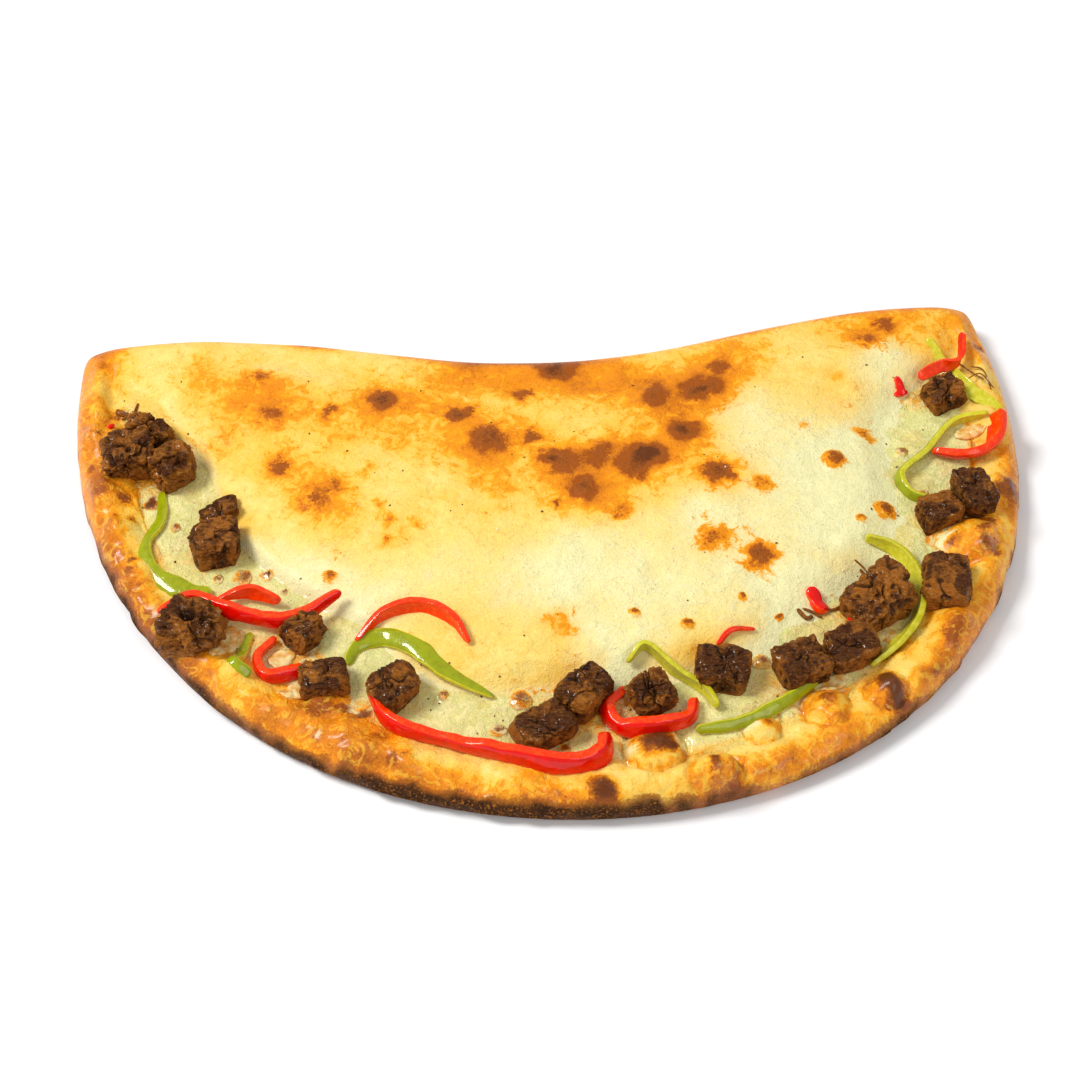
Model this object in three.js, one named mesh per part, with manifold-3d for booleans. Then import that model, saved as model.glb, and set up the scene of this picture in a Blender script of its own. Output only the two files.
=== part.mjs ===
// A baked half-moon calzone: a round of pizza dough folded once over melted cheese, with cubes of
// beef, strips of pepper and slices of onion lying in the open strip between the flap and the rim.
// Millimetres, +Z up. The fold runs along X at the back, the rim is a half circle at the front.

import * as THREE from 'three';
import { ConvexGeometry } from 'three/addons/geometries/ConvexGeometry.js';
import { mergeVertices } from 'three/addons/utils/BufferGeometryUtils.js';
import Module from 'manifold-3d';

const wasm = await Module();
wasm.setup();

// Driving dimensions. The plan's own origin is the centre of the rim's half circle.
const GAP = 0.3; // between pieces that touch
const RADIUS = 165; // of the rim's half circle
const FOLD_OFFSET = 30.5; // mean distance of the fold behind the centre
const FOLD_WAVE = 9; // depth of the fold's hollow middle
const FOLD_WAVE_LENGTH = 260;
const CORNER = 2.5; // softness of the two corners
const RIM_WIDTH = 22;
const RIM_CREST = 9; // distance of the rim's highest line from its outer edge
const RIM_HEIGHT = 13;
const RIM_EQUATOR = 4.5;
const FOLD_HEIGHT = 17;
const FOLD_EQUATOR = 8;
const UNDERSIDE_ROUND = 6; // width of the rounding below the outer edge
const FLOOR = 4.5; // thickness of the lower sheet of dough
const CHEESE_INSET = 18.5; // from the rim's outer edge to the cheese below it
const CHEESE_FOLD_INSET = 10; // the same along the fold
const BASIN = 9; // level that the rim falls to inside
const CHEESE_LEVEL = 10.3;
const FLAP_INSET = 45; // from the outer edge to the flap's edge
const FLAP_EDGE_HEIGHT = 13;
const FLAP_RISE = 9;
const FLAP_RISE_LENGTH = 28;
const FLAP_LIP = 2.5; // half width of the step at the flap's edge
const FLAP_THICKNESS = 4;
const MIDDLE_RISE = 5; // rise of the flap from the fold inwards
const MIDDLE_RISE_LENGTH = 30;
const HUB = new THREE.Vector2(0, -60); // the rays of every round piece start here
const RAYS = 84;

const DEGREE = Math.PI / 180;
const { cos, sin, hypot, min, max, sqrt, exp, log, atan2, PI } = Math;
const { smoothstep, lerp, clamp } = THREE.MathUtils;

// Angle of a plan point about the rim's centre, 0 at the front and growing to the right, in degrees.
function turn(x, y) {
  return atan2(x, -y) / DEGREE;
}

// The rim is a little uneven: its left end stands wider than its right end, with shallow waves between.
function rimRadius(angle) {
  const a = angle * DEGREE;
  return RADIUS - 5.4 * sin(a) + 5.2 * sin(2 * a) - 1.4 * cos(4 * a);
}

function foldLine(x) {
  return FOLD_OFFSET - FOLD_WAVE * cos((2 * PI * x) / FOLD_WAVE_LENGTH);
}

function softMin(a, b, softness) {
  const low = min(a, b);
  return low - softness * log(exp((low - a) / softness) + exp((low - b) / softness));
}

// Distance in from the whole outline, with the two corners rounded.
function inset(x, y) {
  const fromRim = rimRadius(turn(x, y)) - hypot(x, y);
  return softMin(fromRim, foldLine(x) - y, CORNER);
}

// 0 along the rim, 1 along the fold.
function foldShare(x, y) {
  const fromRim = rimRadius(turn(x, y)) - hypot(x, y);
  return smoothstep(fromRim - (foldLine(x) - y), -12, 12);
}

// Distance in from the flap's edge, negative in the open strip. The flap reaches the rim at both corners.
function flapInset(x, y) {
  const angle = turn(x, y);
  const a = angle * DEGREE;
  const reach = 1 - smoothstep(Math.abs(angle), 80, 106);
  const edge = (FLAP_INSET + 3 * sin(5 * a - 0.6) + 2.5 * cos(9 * a)) * reach;
  return rimRadius(angle) - hypot(x, y) - edge;
}

function rimHeight(angle) {
  const a = angle * DEGREE;
  return RIM_HEIGHT + 1.1 * sin(7 * a + 0.5) + 0.7 * sin(13 * a);
}

function flapHeight(x, y) {
  const fromEdge = max(flapInset(x, y), 0);
  const fromFold = max(foldLine(x) - y - RIM_CREST, 0);
  const front = FLAP_EDGE_HEIGHT + FLAP_RISE * (1 - exp(-fromEdge / FLAP_RISE_LENGTH));
  const back = FOLD_HEIGHT + MIDDLE_RISE * (1 - exp(-fromFold / MIDDLE_RISE_LENGTH));
  return softMin(front, back, 1);
}

// Upper face of the dough: a quarter round up to the crest, then down into the basin, then the flap.
function crustTop(x, y) {
  const depth = inset(x, y);
  const share = foldShare(x, y);
  const equator = lerp(RIM_EQUATOR, FOLD_EQUATOR, share);
  const crest = lerp(rimHeight(turn(x, y)), FOLD_HEIGHT, share);
  const across = 1 - clamp(depth / RIM_CREST, 0, 1);
  const round = equator + (crest - equator) * sqrt(1 - across * across);
  const step = smoothstep(flapInset(x, y), -FLAP_LIP, FLAP_LIP);
  const inner = lerp(BASIN, flapHeight(x, y), step);
  return round + (inner - crest) * smoothstep(depth, RIM_CREST, RIM_WIDTH);
}

function crustBottom(x, y) {
  const equator = lerp(RIM_EQUATOR, FOLD_EQUATOR, foldShare(x, y));
  const across = 1 - clamp(inset(x, y) / UNDERSIDE_ROUND, 0, 1);
  return equator * (1 - sqrt(1 - across * across));
}

// The cheese lies level in the strip and rises under the flap.
function cheeseTop(x, y) {
  const under = smoothstep(flapInset(x, y), -2, 14);
  return lerp(CHEESE_LEVEL, flapHeight(x, y) - FLAP_THICKNESS, under);
}

// Distance from the hub, along a ray, at which a falling function of plan position reaches a value.
function reach(ray, measure, value) {
  let near = 0;
  let far = 2 * RADIUS;
  for (let halving = 0; halving < 30; halving += 1) {
    const middle = (near + far) / 2;
    if (measure(HUB.x + middle * ray.x, HUB.y + middle * ray.y) > value) near = middle;
    else far = middle;
  }
  return near;
}

// Rays around the hub, closer together towards the two corners.
const rays = Array.from({ length: RAYS }, (_, index) => {
  const even = (2 * PI * index) / RAYS;
  const angle = even - 0.12 * sin(3 * even);
  const ray = { x: sin(angle), y: -cos(angle) };
  ray.outline = (depth) => reach(ray, inset, depth);
  ray.flap = min(reach(ray, flapInset, 0), ray.outline(RIM_WIDTH + 4));
  return ray;
});

function solidFrom(geometry) {
  const bare = geometry.clone();
  bare.deleteAttribute('normal');
  bare.deleteAttribute('uv');
  const merged = mergeVertices(bare, 1e-4);
  return new wasm.Manifold(new wasm.Mesh({
    numProp: 3,
    vertProperties: new Float32Array(merged.attributes.position.array),
    triVerts: new Uint32Array(merged.index.array),
  }));
}

// A closed round piece. Each ring is { along(ray) -> distance from the hub, z(x, y) }, listed from the
// middle of the underside, out over the edge and back to the middle of the top.
function roundSolid(rings, bottomZ, topZ) {
  const positions = [HUB.x, HUB.y, bottomZ];
  for (const ring of rings) {
    for (const ray of rays) {
      const distance = ring.along(ray);
      const x = HUB.x + distance * ray.x;
      const y = HUB.y + distance * ray.y;
      positions.push(x, y, ring.z(x, y));
    }
  }
  positions.push(HUB.x, HUB.y, topZ);
  const last = 1 + rings.length * RAYS;
  const indices = [];
  for (let i = 0; i < RAYS; i += 1) {
    const j = (i + 1) % RAYS;
    indices.push(0, 1 + j, 1 + i);
    for (let ring = 0; ring < rings.length - 1; ring += 1) {
      const a = 1 + ring * RAYS;
      const b = a + RAYS;
      indices.push(a + i, a + j, b + j, a + i, b + j, b + i);
    }
    indices.push(last, last - RAYS + i, last - RAYS + j);
  }
  const geometry = new THREE.BufferGeometry();
  geometry.setAttribute('position', new THREE.Float32BufferAttribute(positions, 3));
  geometry.setIndex(indices);
  return solidFrom(geometry);
}

function doughBlock(grow) {
  const top = (x, y) => crustTop(x, y) + grow;
  const edge = (depth) => (ray) => ray.outline(depth) + grow;
  return roundSolid([
    { along: edge(UNDERSIDE_ROUND), z: () => 0 },
    { along: edge(1.5), z: crustBottom },
    { along: edge(0), z: (x, y) => lerp(RIM_EQUATOR, FOLD_EQUATOR, foldShare(x, y)) },
    { along: edge(2), z: top },
    { along: edge(RIM_CREST), z: top },
    { along: edge(15), z: top },
    { along: edge(RIM_WIDTH), z: top },
    { along: (ray) => ray.flap + FLAP_LIP, z: top },
    { along: (ray) => ray.flap - FLAP_LIP, z: top },
    { along: (ray) => ray.flap * 0.84, z: top },
    { along: (ray) => ray.flap * 0.55, z: top },
    { along: (ray) => ray.flap * 0.25, z: top },
  ], 0, top(HUB.x, HUB.y));
}

function cheeseBlock(grow) {
  const edge = (ray) => {
    const end = ray.outline(CHEESE_INSET);
    const share = foldShare(HUB.x + end * ray.x, HUB.y + end * ray.y);
    return ray.outline(lerp(CHEESE_INSET, CHEESE_FOLD_INSET, share)) + grow;
  };
  const top = (x, y) => cheeseTop(x, y) + grow;
  return roundSolid([
    { along: (ray) => edge(ray) * 0.5, z: () => FLOOR - grow },
    { along: edge, z: () => FLOOR - grow },
    { along: edge, z: top },
    { along: (ray) => min(ray.flap + FLAP_LIP, edge(ray) - 2), z: top },
    { along: (ray) => min(ray.flap - 14, edge(ray) - 12), z: top },
    { along: (ray) => ray.flap * 0.55, z: top },
  ], FLOOR - grow, top(HUB.x, HUB.y));
}

const cheese = cheeseBlock(0);
const dough = doughBlock(0).subtract(cheeseBlock(GAP));
const bed = doughBlock(GAP + 0.1).add(cheeseBlock(GAP + 0.1));

// Level of the food's upper face at a plan point: the cheese in the strip, the dough elsewhere.
function surface(x, y) {
  return max(crustTop(x, y), inset(x, y) > RIM_WIDTH ? cheeseTop(x, y) : 0);
}

// Numbers that look random but are the same each time.
function scatter(seed) {
  let state = seed * 7919 + 17;
  return () => {
    state = (state * 16807) % 2147483647;
    return state / 2147483647 - 0.5;
  };
}

// Beef: x, y of the middle, width, depth, height above the bed, turn in degrees.
const BEEF = [
  [-149.5, -16, 17.5, 15.5, 13, 8],
  [-142, -5, 16, 9, 11, -20],
  [-134, -20.5, 14, 14, 11, 25],
  [-118.5, -56, 18, 14, 12, 15],
  [-117.5, -42, 14, 8, 9, 30],
  [-126, -90.5, 20, 17, 10, -15],
  [-90, -92.5, 13, 12, 9, 42],
  [-83.5, -111.5, 17, 13, 8, 3],
  [-61, -118, 17, 13, 11, 32],
  [-13.5, -135, 21, 13, 9, 28],
  [0, -123.5, 18, 14, 12, 40],
  [21, -125, 14, 12, 11, 25],
  [44, -117, 19, 15, 10.5, -8],
  [70, -117, 18, 15, 11, 18],
  [87, -111, 19, 14, 9.5, 20],
  [98, -93.5, 24, 17, 12, 32],
  [122, -87, 17, 19, 12, -10],
  [125.5, -56.5, 16, 12, 8.5, 18],
  [138, -49.5, 12, 17, 10, 12],
  [135.5, -3.5, 15, 12, 8, 25],
];
const BEEF_SUNK = 3; // depth that a cube sinks into the bed
const CORNER_SHIFT = 0.18; // how far a cube's corners move, as a share of its half size
const CORNER_CUT = 0.78; // where a corner's cut meets the cube's edges

// A torn cube: the hull of eight cut-off corners, each moved a little.
function beefChunk([x, y, width, depth, height, angle], seed, grow) {
  const random = scatter(seed);
  const half = [width / 2 + grow, depth / 2 + grow, (height + BEEF_SUNK) / 2 + grow];
  const points = [];
  for (const corner of [0, 1, 2, 3, 4, 5, 6, 7]) {
    const sign = [corner & 1 ? 1 : -1, corner & 2 ? 1 : -1, corner & 4 ? 1 : -1];
    const size = half.map((value) => value * (1 - CORNER_SHIFT * (random() + 0.5)));
    for (const axis of [0, 1, 2]) {
      const cut = CORNER_CUT + CORNER_SHIFT * random();
      points.push(new THREE.Vector3(...size.map((value, index) => (
        sign[index] * value * (index === axis ? 1 : cut)
      ))));
    }
  }
  const geometry = new ConvexGeometry(points);
  geometry.rotateZ(angle * DEGREE);
  geometry.translate(x, y, surface(x, y) + (height - BEEF_SUNK) / 2);
  return solidFrom(geometry);
}

// Pepper strips: width across, thickness, lift above the bed, then the route as [x, y] points.
const RED_PEPPER = [
  [5.5, 4, 5.5, [-136, -83], [-126, -78], [-112, -85], [-94, -89], [-77, -81]],
  [3, 3, 3.5, [-118, -77], [-108, -75.5], [-97, -80]],
  [5, 3.5, 1, [-99, -93], [-105, -101], [-102, -109], [-89, -107]],
  [4, 3.5, 1.5, [-72, -96], [-64, -89], [-51, -87.5], [-41, -94], [-36, -104]],
  [7, 5, 1.5, [-69, -118], [-63, -130], [-46, -138], [-27, -145], [-9, -150], [4, -147], [6, -139]],
  [6, 4.5, 1.5, [13, -121], [6, -128], [10, -136], [24, -137], [33, -133], [35, -126]],
  [3, 3, 1, [44, -107], [49, -102], [56, -101]],
  [7, 5, 1, [78, -87], [81, -93]],
  [4, 3.5, 2, [145, 20], [142, 8], [137, 5], [128, -3]],
  [6, 4, 2, [153, -15], [148, -27], [138, -32], [128, -30]],
];
const GREEN_PEPPER = [
  [6, 3, 0.5, [-138, -29], [-138, -40], [-143, -53], [-138, -65], [-122, -75]],
  [3.5, 3, 0, [-107, -90], [-110, -98], [-112, -106], [-107, -110]],
  [7, 3.5, 1, [-75, -104], [-72, -98], [-64, -96], [-53, -103], [-42, -113], [-30, -121]],
  [3.5, 3.5, 3, [15, -112], [20, -108], [30, -116], [39, -123], [42, -130]],
  [5.5, 3.5, 1, [36, -138], [48, -136], [60, -131], [74, -122]],
  [5, 4, 1, [100, -67], [108, -70], [114, -83], [112, -97], [104, -108], [94, -116]],
  [5, 3, 1, [134, 18], [138, 10], [144, -1], [154, -10]],
  [3.5, 3.5, 1, [149, -14], [137, -15], [125, -28], [114, -39], [117, -47], [124, -50]],
];

const STRIP_STEP = 8; // along a strip, between its sections

function pepperStrip([width, thickness, lift, ...route], grow) {
  const points = route.map(([x, y]) => new THREE.Vector3(x, y, surface(x, y) + lift));
  const curve = new THREE.CatmullRomCurve3(points, false, 'centripetal');
  const steps = max(3, Math.round(curve.getLength() / STRIP_STEP));
  const tips = [[points[0], points[1]], [points.at(-1), points.at(-2)]];
  for (const [tip, next] of tips) tip.add(tip.clone().sub(next).setLength(grow));
  const section = new THREE.Shape(Array.from({ length: 6 }, (_, index) => new THREE.Vector2(
    (thickness / 2 + grow) * cos(index * 60 * DEGREE),
    (width / 2 + grow) * sin(index * 60 * DEGREE),
  )));
  return solidFrom(new THREE.ExtrudeGeometry(section, { steps, extrudePath: curve }));
}

// Onion slices: x, y, long and short radius, turn in degrees.
const ONION = [
  [-116, -94, 7, 4.5, 60],
  [-97, -101, 4.5, 3.5, 20],
  [-92, -114.5, 6, 3, 5],
  [79, -122, 5.5, 3.5, 20],
  [95, -106, 5, 2.5, 25],
  [142, -20, 6, 3, 15],
];
const ONION_THICKNESS = 1.6;

function onionSlice([x, y, long, short, angle], grow) {
  const geometry = new THREE.CylinderGeometry(1, 1, ONION_THICKNESS + 2 * grow, 10);
  geometry.rotateX(PI / 2);
  geometry.scale(long + grow, short + grow, 1);
  geometry.rotateZ(angle * DEGREE);
  geometry.translate(x, y, surface(x, y) + 0.6);
  return solidFrom(geometry);
}

// Lowest pieces first: each later piece is cut to rest on the bed and on the pieces already there.
const toppings = [
  ...ONION.map((spec, i) => ({ name: `onion_${i + 1}`, kind: 'onion', make: (grow) => onionSlice(spec, grow) })),
  ...GREEN_PEPPER.map((spec, i) => (
    { name: `green_pepper_${i + 1}`, kind: 'green', make: (grow) => pepperStrip(spec, grow) })),
  ...BEEF.map((spec, i) => ({ name: `beef_${i + 1}`, kind: 'beef', make: (grow) => beefChunk(spec, i + 1, grow) })),
  ...RED_PEPPER.map((spec, i) => (
    { name: `red_pepper_${i + 1}`, kind: 'red', make: (grow) => pepperStrip(spec, grow) })),
];

const FINISHES = {
  dough: { color: 0xe9c98a, roughness: 0.7, metalness: 0 },
  cheese: { color: 0xe6dfa4, roughness: 0.35, metalness: 0 },
  beef: { color: 0x4b2d1b, roughness: 0.5, metalness: 0 },
  red: { color: 0xd81f10, roughness: 0.25, metalness: 0 },
  green: { color: 0xa9bb2a, roughness: 0.3, metalness: 0 },
  onion: { color: 0xe8d9a0, roughness: 0.3, metalness: 0 },
};

function meshOf(name, solid, finish) {
  const { numProp, vertProperties, triVerts } = solid.getMesh();
  const geometry = new THREE.BufferGeometry();
  const positions = new THREE.InterleavedBuffer(vertProperties, numProp);
  geometry.setAttribute('position', new THREE.InterleavedBufferAttribute(positions, 3, 0));
  geometry.setIndex(new THREE.BufferAttribute(triVerts, 1));
  const mesh = new THREE.Mesh(geometry, new THREE.MeshStandardMaterial(FINISHES[finish]));
  mesh.name = name;
  return mesh;
}

const calzone = new THREE.Group();
calzone.add(meshOf('dough', dough, 'dough'));
calzone.add(meshOf('cheese', cheese, 'cheese'));

let taken = bed;
for (const { name, kind, make } of toppings) {
  const pieces = make(0).subtract(taken).decompose();
  const piece = pieces.reduce((best, other) => (other.volume() > best.volume() ? other : best));
  calzone.add(meshOf(name, piece, kind));
  taken = taken.add(make(GAP));
}

const box = new THREE.Box3().setFromObject(calzone);
const centre = box.getCenter(new THREE.Vector3());
calzone.position.set(-centre.x, -centre.y, -box.min.z);

export default calzone;
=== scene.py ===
"""A baked half-moon calzone: folded dough, melted cheese, beef cubes, pepper strips and onion slices."""

import math

import bpy
import numpy as np
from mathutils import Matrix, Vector


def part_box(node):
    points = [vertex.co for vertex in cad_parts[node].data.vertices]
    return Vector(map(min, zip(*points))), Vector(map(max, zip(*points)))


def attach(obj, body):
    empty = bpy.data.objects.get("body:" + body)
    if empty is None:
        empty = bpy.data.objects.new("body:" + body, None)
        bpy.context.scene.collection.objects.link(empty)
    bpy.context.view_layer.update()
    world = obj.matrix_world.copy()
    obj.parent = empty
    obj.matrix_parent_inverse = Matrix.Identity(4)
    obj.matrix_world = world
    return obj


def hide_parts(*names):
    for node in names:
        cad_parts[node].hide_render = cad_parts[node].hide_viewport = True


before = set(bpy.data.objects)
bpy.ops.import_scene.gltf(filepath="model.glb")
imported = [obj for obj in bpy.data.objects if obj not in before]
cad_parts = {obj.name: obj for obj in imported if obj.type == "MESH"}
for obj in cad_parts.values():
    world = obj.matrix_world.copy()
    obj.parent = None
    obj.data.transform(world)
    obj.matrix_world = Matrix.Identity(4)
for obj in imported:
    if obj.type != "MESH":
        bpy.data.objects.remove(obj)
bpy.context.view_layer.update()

bl_info = {
    "name": "Folded Calzone",
    "version": (1, 0, 0),
    "blender": (4, 5, 0),
    "location": "3D View > Sidebar > Calzone",
    "description": "Builds a baked calzone with cheese, beef, peppers and onion around its solid frame",
    "category": "Add Mesh",
}

MM = 0.001

# The stage, in metres, watts and degrees.
FLOOR_SIZE = 6.0
FLOOR_GREY = 0.92
ROOM_LIGHT = 0.5
# Lights: name, place, diameter, power.
LIGHTS = [("key", (-1.5, 0.3, 2.0), 0.9, 52.0), ("fill", (1.2, -1.6, 1.8), 1.6, 16.0)]
LIT_POINT = (0.0, 0.0, 0.01)
CAMERA_ELEVATION = 52.1
CAMERA_AZIMUTH = -3.7
CAMERA_ANGLE = 25.0
# The point that the camera looks at, from the middle of the dough.
CAMERA_AIM = (-0.0035, 0.0116)

# Driving dimensions in millimetres, about the centre of the rim's half circle.
RADIUS = 165.0
FOLD_OFFSET = 30.5
FOLD_WAVE = 9.0
FOLD_WAVE_LENGTH = 260.0
CORNER = 1.6
RIM_WIDTH = 22.0
RIM_CREST = 9.0
RIM_HEIGHT = 13.0
RIM_EQUATOR = 4.5
FOLD_HEIGHT = 17.0
FOLD_EQUATOR = 8.0
UNDERSIDE_ROUND = 6.0
BASIN = 9.0
CHEESE_END = 101.0
CHEESE_LEVEL = 10.3
FLAP_INSET = 45.0
FLAP_EDGE_HEIGHT = 13.0
FLAP_RISE = 9.0
FLAP_RISE_LENGTH = 28.0
MIDDLE_RISE = 5.0
MIDDLE_RISE_LENGTH = 30.0
HUB = np.array([0.0, -60.0])

# Blisters on the rim: degrees round from the front, distance from the edge, radius, height, steepness.
BLISTERS = [
    (14.0, 6.5, 8.0, 5.5, 0.6), (8.2, 20.0, 9.5, 5.5, 0.6), (37.8, 9.5, 6.5, 4.0, 0.8),
    (22.0, 19.0, 6.5, 3.2, 0.9), (30.5, 16.5, 8.0, 4.4, 0.9), (63.0, 17.0, 11.0, 4.6, 0.9),
    (61.5, 10.0, 5.0, 1.8, 1.0), (65.5, 8.0, 5.0, 1.6, 1.0), (1.0, 4.5, 6.0, 1.6, 1.0),
    (-34.5, 21.0, 8.0, 2.2, 1.2), (-29.5, 12.0, 12.0, 1.6, 1.5), (-22.0, 9.0, 9.0, 1.2, 1.5),
    (-46.0, 8.0, 6.0, 2.0, 1.0), (-66.5, 8.0, 7.0, 2.6, 1.0), (-73.5, 9.0, 6.0, 2.4, 1.0),
    (-79.0, 8.0, 6.0, 2.2, 1.0), (-88.0, 8.0, 8.0, 1.8, 1.0), (73.0, 6.0, 6.0, 1.5, 1.2),
    (50.0, 8.0, 10.0, 1.2, 1.5), (84.0, 6.0, 7.0, 1.0, 1.5),
]
# Toasted patches on the rim: degrees, distance from the edge, half width in degrees, half depth, strength.
RIM_TOAST = [
    (-101, 4, 7, 9, 0.55), (-89, 5, 6, 8, 0.65), (-81, 8, 4, 9, 0.75), (-74, 5, 5, 6, 0.75),
    (-67, 4, 5, 6, 0.70), (-60, 4, 4, 7, 0.75), (-53, 4, 4, 9, 0.80), (-47, 4, 2, 4, 0.55),
    (-40, 4, 3, 5, 0.70), (-35, 15, 4.5, 8, 0.95), (-32, 7, 7, 7, 0.70), (-27, 13, 4, 8, 0.75),
    (-22, 5, 5, 6, 0.75), (-14, 4, 5, 4, 0.65), (-5, 3.5, 4, 3, 0.60), (8, 20, 2.2, 6, 0.75),
    (14, 3, 2.0, 5, 0.70), (21, 4, 4, 4, 0.80), (22.5, 19, 1.8, 3.5, 0.90), (30.5, 16, 2.0, 6, 0.85),
    (29, 4, 4, 5, 0.75), (37.5, 9, 2.2, 7, 0.80), (44, 3, 3, 3, 0.75), (48.5, 6, 4, 5, 0.95),
    (55, 3, 4, 3, 0.55), (62, 12, 2.5, 5, 0.70), (66, 11, 3.0, 5, 0.75), (61.5, 21, 2, 4, 0.60),
    (73, 4, 3.0, 4.5, 0.95), (81, 2, 5, 3, 0.40), (97, 6, 3, 5, 0.70), (103, 8, 4, 9, 0.65),
]
# Where the dark band at the rim's foot, char with painted shade where the rim turns under, reaches higher:
# degrees, half width in degrees, height.
CHAR_AND_SHADE = [(-10, 18, 1.6), (-60, 12, 0.3), (38, 3, 1.2)]
# Brown spots on the rim: degrees, distance from the edge, radius, strength.
RIM_SPOTS = [
    (-92.5, 15, 2.6, 0.7), (-88.5, 9, 1.4, 0.6), (-84, 5, 1.6, 0.6), (-81, 9, 1.6, 0.7), (-79, 6, 1.4, 0.6),
    (-77.3, 15, 2.0, 0.8), (-76.8, 22, 2.2, 0.8), (-74.5, 14, 1.7, 0.7), (-75, 9, 1.6, 0.6),
    (-68, 7.5, 2.4, 0.7), (-66.5, 5, 1.6, 0.6), (-34.3, 25.5, 1.6, 0.8), (-30.2, 20.5, 2.4, 0.9),
    (-35, 18, 4.5, 0.45), (-23, 9, 3.0, 0.4), (-26, 15, 3.0, 0.35), (0.8, 5, 4.5, 1.1), (8.3, 20.5, 5.6, 1.2),
    (10.2, 18, 2.4, 0.7), (14.6, 8.5, 2.6, 0.9), (13.2, 5.5, 1.6, 0.5), (38.0, 11, 4.2, 1.2),
    (37.6, 5, 3.4, 1.2), (22.6, 19, 2.0, 0.5), (31, 17, 3.0, 0.45), (48.5, 7, 3.5, 0.55), (62, 9, 2.6, 0.9),
    (64.3, 12, 2.2, 0.8), (66.3, 9.5, 2.0, 0.8), (61.6, 20, 2.0, 0.7), (73, 4.5, 3.6, 0.9),
    (96.5, 3.5, 2.2, 0.8), (88.5, 16, 1.4, 0.5), (58, 12, 1.2, 0.5), (70, 9, 1.4, 0.6),
]
# Scorched spots on the flap: x, y, radius, strength.
SCORCHES = [
    (-62, 1, 3.6, 1.1), (-25, -19, 5.4, 1.0), (0, 14, 5.0, 1.2), (47, -2, 3.6, 1.0), (53, 1, 3.4, 0.9),
    (41, -20, 3.8, 1.2), (24, -33, 5.0, 1.1), (30, -30, 3.4, 1.0), (11, -31, 3.2, 0.6), (-1, -31, 4.4, 0.9),
    (-6, -29, 3.0, 0.7), (6, -44, 3.6, 1.0), (51, -39, 4.2, 1.0), (62, -74, 3.8, 0.9), (46, -68, 3.6, 0.6),
    (-80, -3, 2.6, 0.7), (-36, -8, 3.2, 1.0), (-11, -19, 2.6, 0.8), (-5, -50, 2.4, 0.7), (-12, 2, 2.4, 0.6),
    (33, -2, 4.0, 0.9), (57, 11, 3.0, 0.8), (13, -27, 2.4, 0.5), (66, -45, 2.6, 0.6), (17, -55, 2.4, 0.6),
    (105, -21, 2.6, 0.6), (83, -20, 2.2, 0.4), (99, 3, 1.8, 0.4), (110, 19, 3.2, 0.5), (-61, -61, 1.8, 0.6),
    (-105, 15, 2.8, 0.6), (-100, -3, 2.4, 0.5), (-98, -25, 2.8, 0.8), (-163, 24, 3.0, 0.7),
    (-86, -42, 4.5, 0.5), (-79, -37, 3.0, 0.4), (-13, -2, 2.4, 0.5), (-31, -5, 2.0, 0.6), (118, 27, 3.0, 0.6),
    (-64, -47, 2.0, 0.45), (-59, -52, 1.6, 0.5), (-67, -30, 1.8, 0.45), (-52, -54, 1.4, 0.4),
]
# Browned bubbles in the cheese and on the flap: x, y, radius.
BUBBLES = [
    (92, -34, 3.8), (107, -54, 3.4), (117, -27, 2.2), (98, -59, 1.6), (-110, -67, 2.8), (-102, -67, 1.9),
    (-81, -72, 2.2), (-118, -67, 1.4), (-45, -119, 1.6), (-29, -133, 2.0), (-21, -122, 2.8), (18, -95, 2.0),
    (35, -100, 2.0), (54, -90, 1.4), (58, -112, 2.3), (-141, -33, 2.2), (-77, -122, 1.9), (-133, -44, 1.6),
    (-92, -82, 1.6), (-68, -96, 1.4), (66, -96, 1.2), (-96, -74, 1.3), (121, -46, 1.6), (-8, -141, 1.2),
]
# Golden patches on the flap: x, y, radius, strength.
GOLDEN = [
    (-125, 21, 10, 0.45), (-116, 7, 13, 0.70), (-100, -2, 13, 0.65), (-97, 8, 10, 0.5), (-119, -14, 8, 0.40),
    (-80, -12, 14, 0.40), (-62, 0, 14, 0.75), (-41, 20, 13, 0.55), (-31, 10, 12, 0.65), (-19, 18, 12, 0.75),
    (-50, -18, 14, 0.45), (-28, -22, 14, 0.85), (-24, -40, 10, 0.60), (-9, 12, 11, 0.75), (4, 8, 12, 0.75),
    (14, 10, 11, 0.75), (22, 2, 13, 0.70), (34, -2, 10, 0.70), (50, 4, 13, 0.80), (60, 14, 12, 0.60),
    (73, 18, 10, 0.45), (42, -20, 9, 0.90), (24, -32, 15, 0.80), (4, -33, 12, 0.65), (7, -44, 8, 0.70),
    (16, -54, 8, 0.50), (-2, -44, 12, 0.35), (52, -39, 8, 0.65), (47, -67, 9, 0.55), (62, -74, 7, 0.50),
    (106, 25, 11, 0.60), (124, 26, 12, 0.65), (-86, -38, 12, 0.55), (-77, -46, 10, 0.45), (-98, -25, 8, 0.45),
    (-58, -56, 8, 0.35), (-6, -99, 6, 0.85), (-159, 28, 9, 0.75), (-161, 8, 8, 0.50), (102, -78, 5, 0.45),
    (57, -4, 8, 0.30), (68, -36, 8, 0.25), (99, -6, 8, 0.25), (110, -16, 8, 0.20), (-45, 2, 10, 0.35),
    (140, 20, 8, 0.35),
]
# Oily pools beside the peppers: x, y, radius, strength.
OILY = [
    (-93, -100, 11, 0.8), (-107, -97, 8, 0.7), (-84, -104, 6, 0.5), (-113, -90, 6, 0.6), (-18, -151, 5, 0.8),
    (10, -131, 9, 0.8), (20, -129, 7, 0.5), (128, 3, 7, 0.9), (134, -38, 8, 0.6), (100, -108, 7, 0.6),
    (60, -126, 8, 0.4), (-141, -30, 7, 0.4), (103, -84, 8, 0.5), (88, -92, 6, 0.5), (-52, -130, 5, 0.4),
    (147, -25, 6, 0.5),
]
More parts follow.
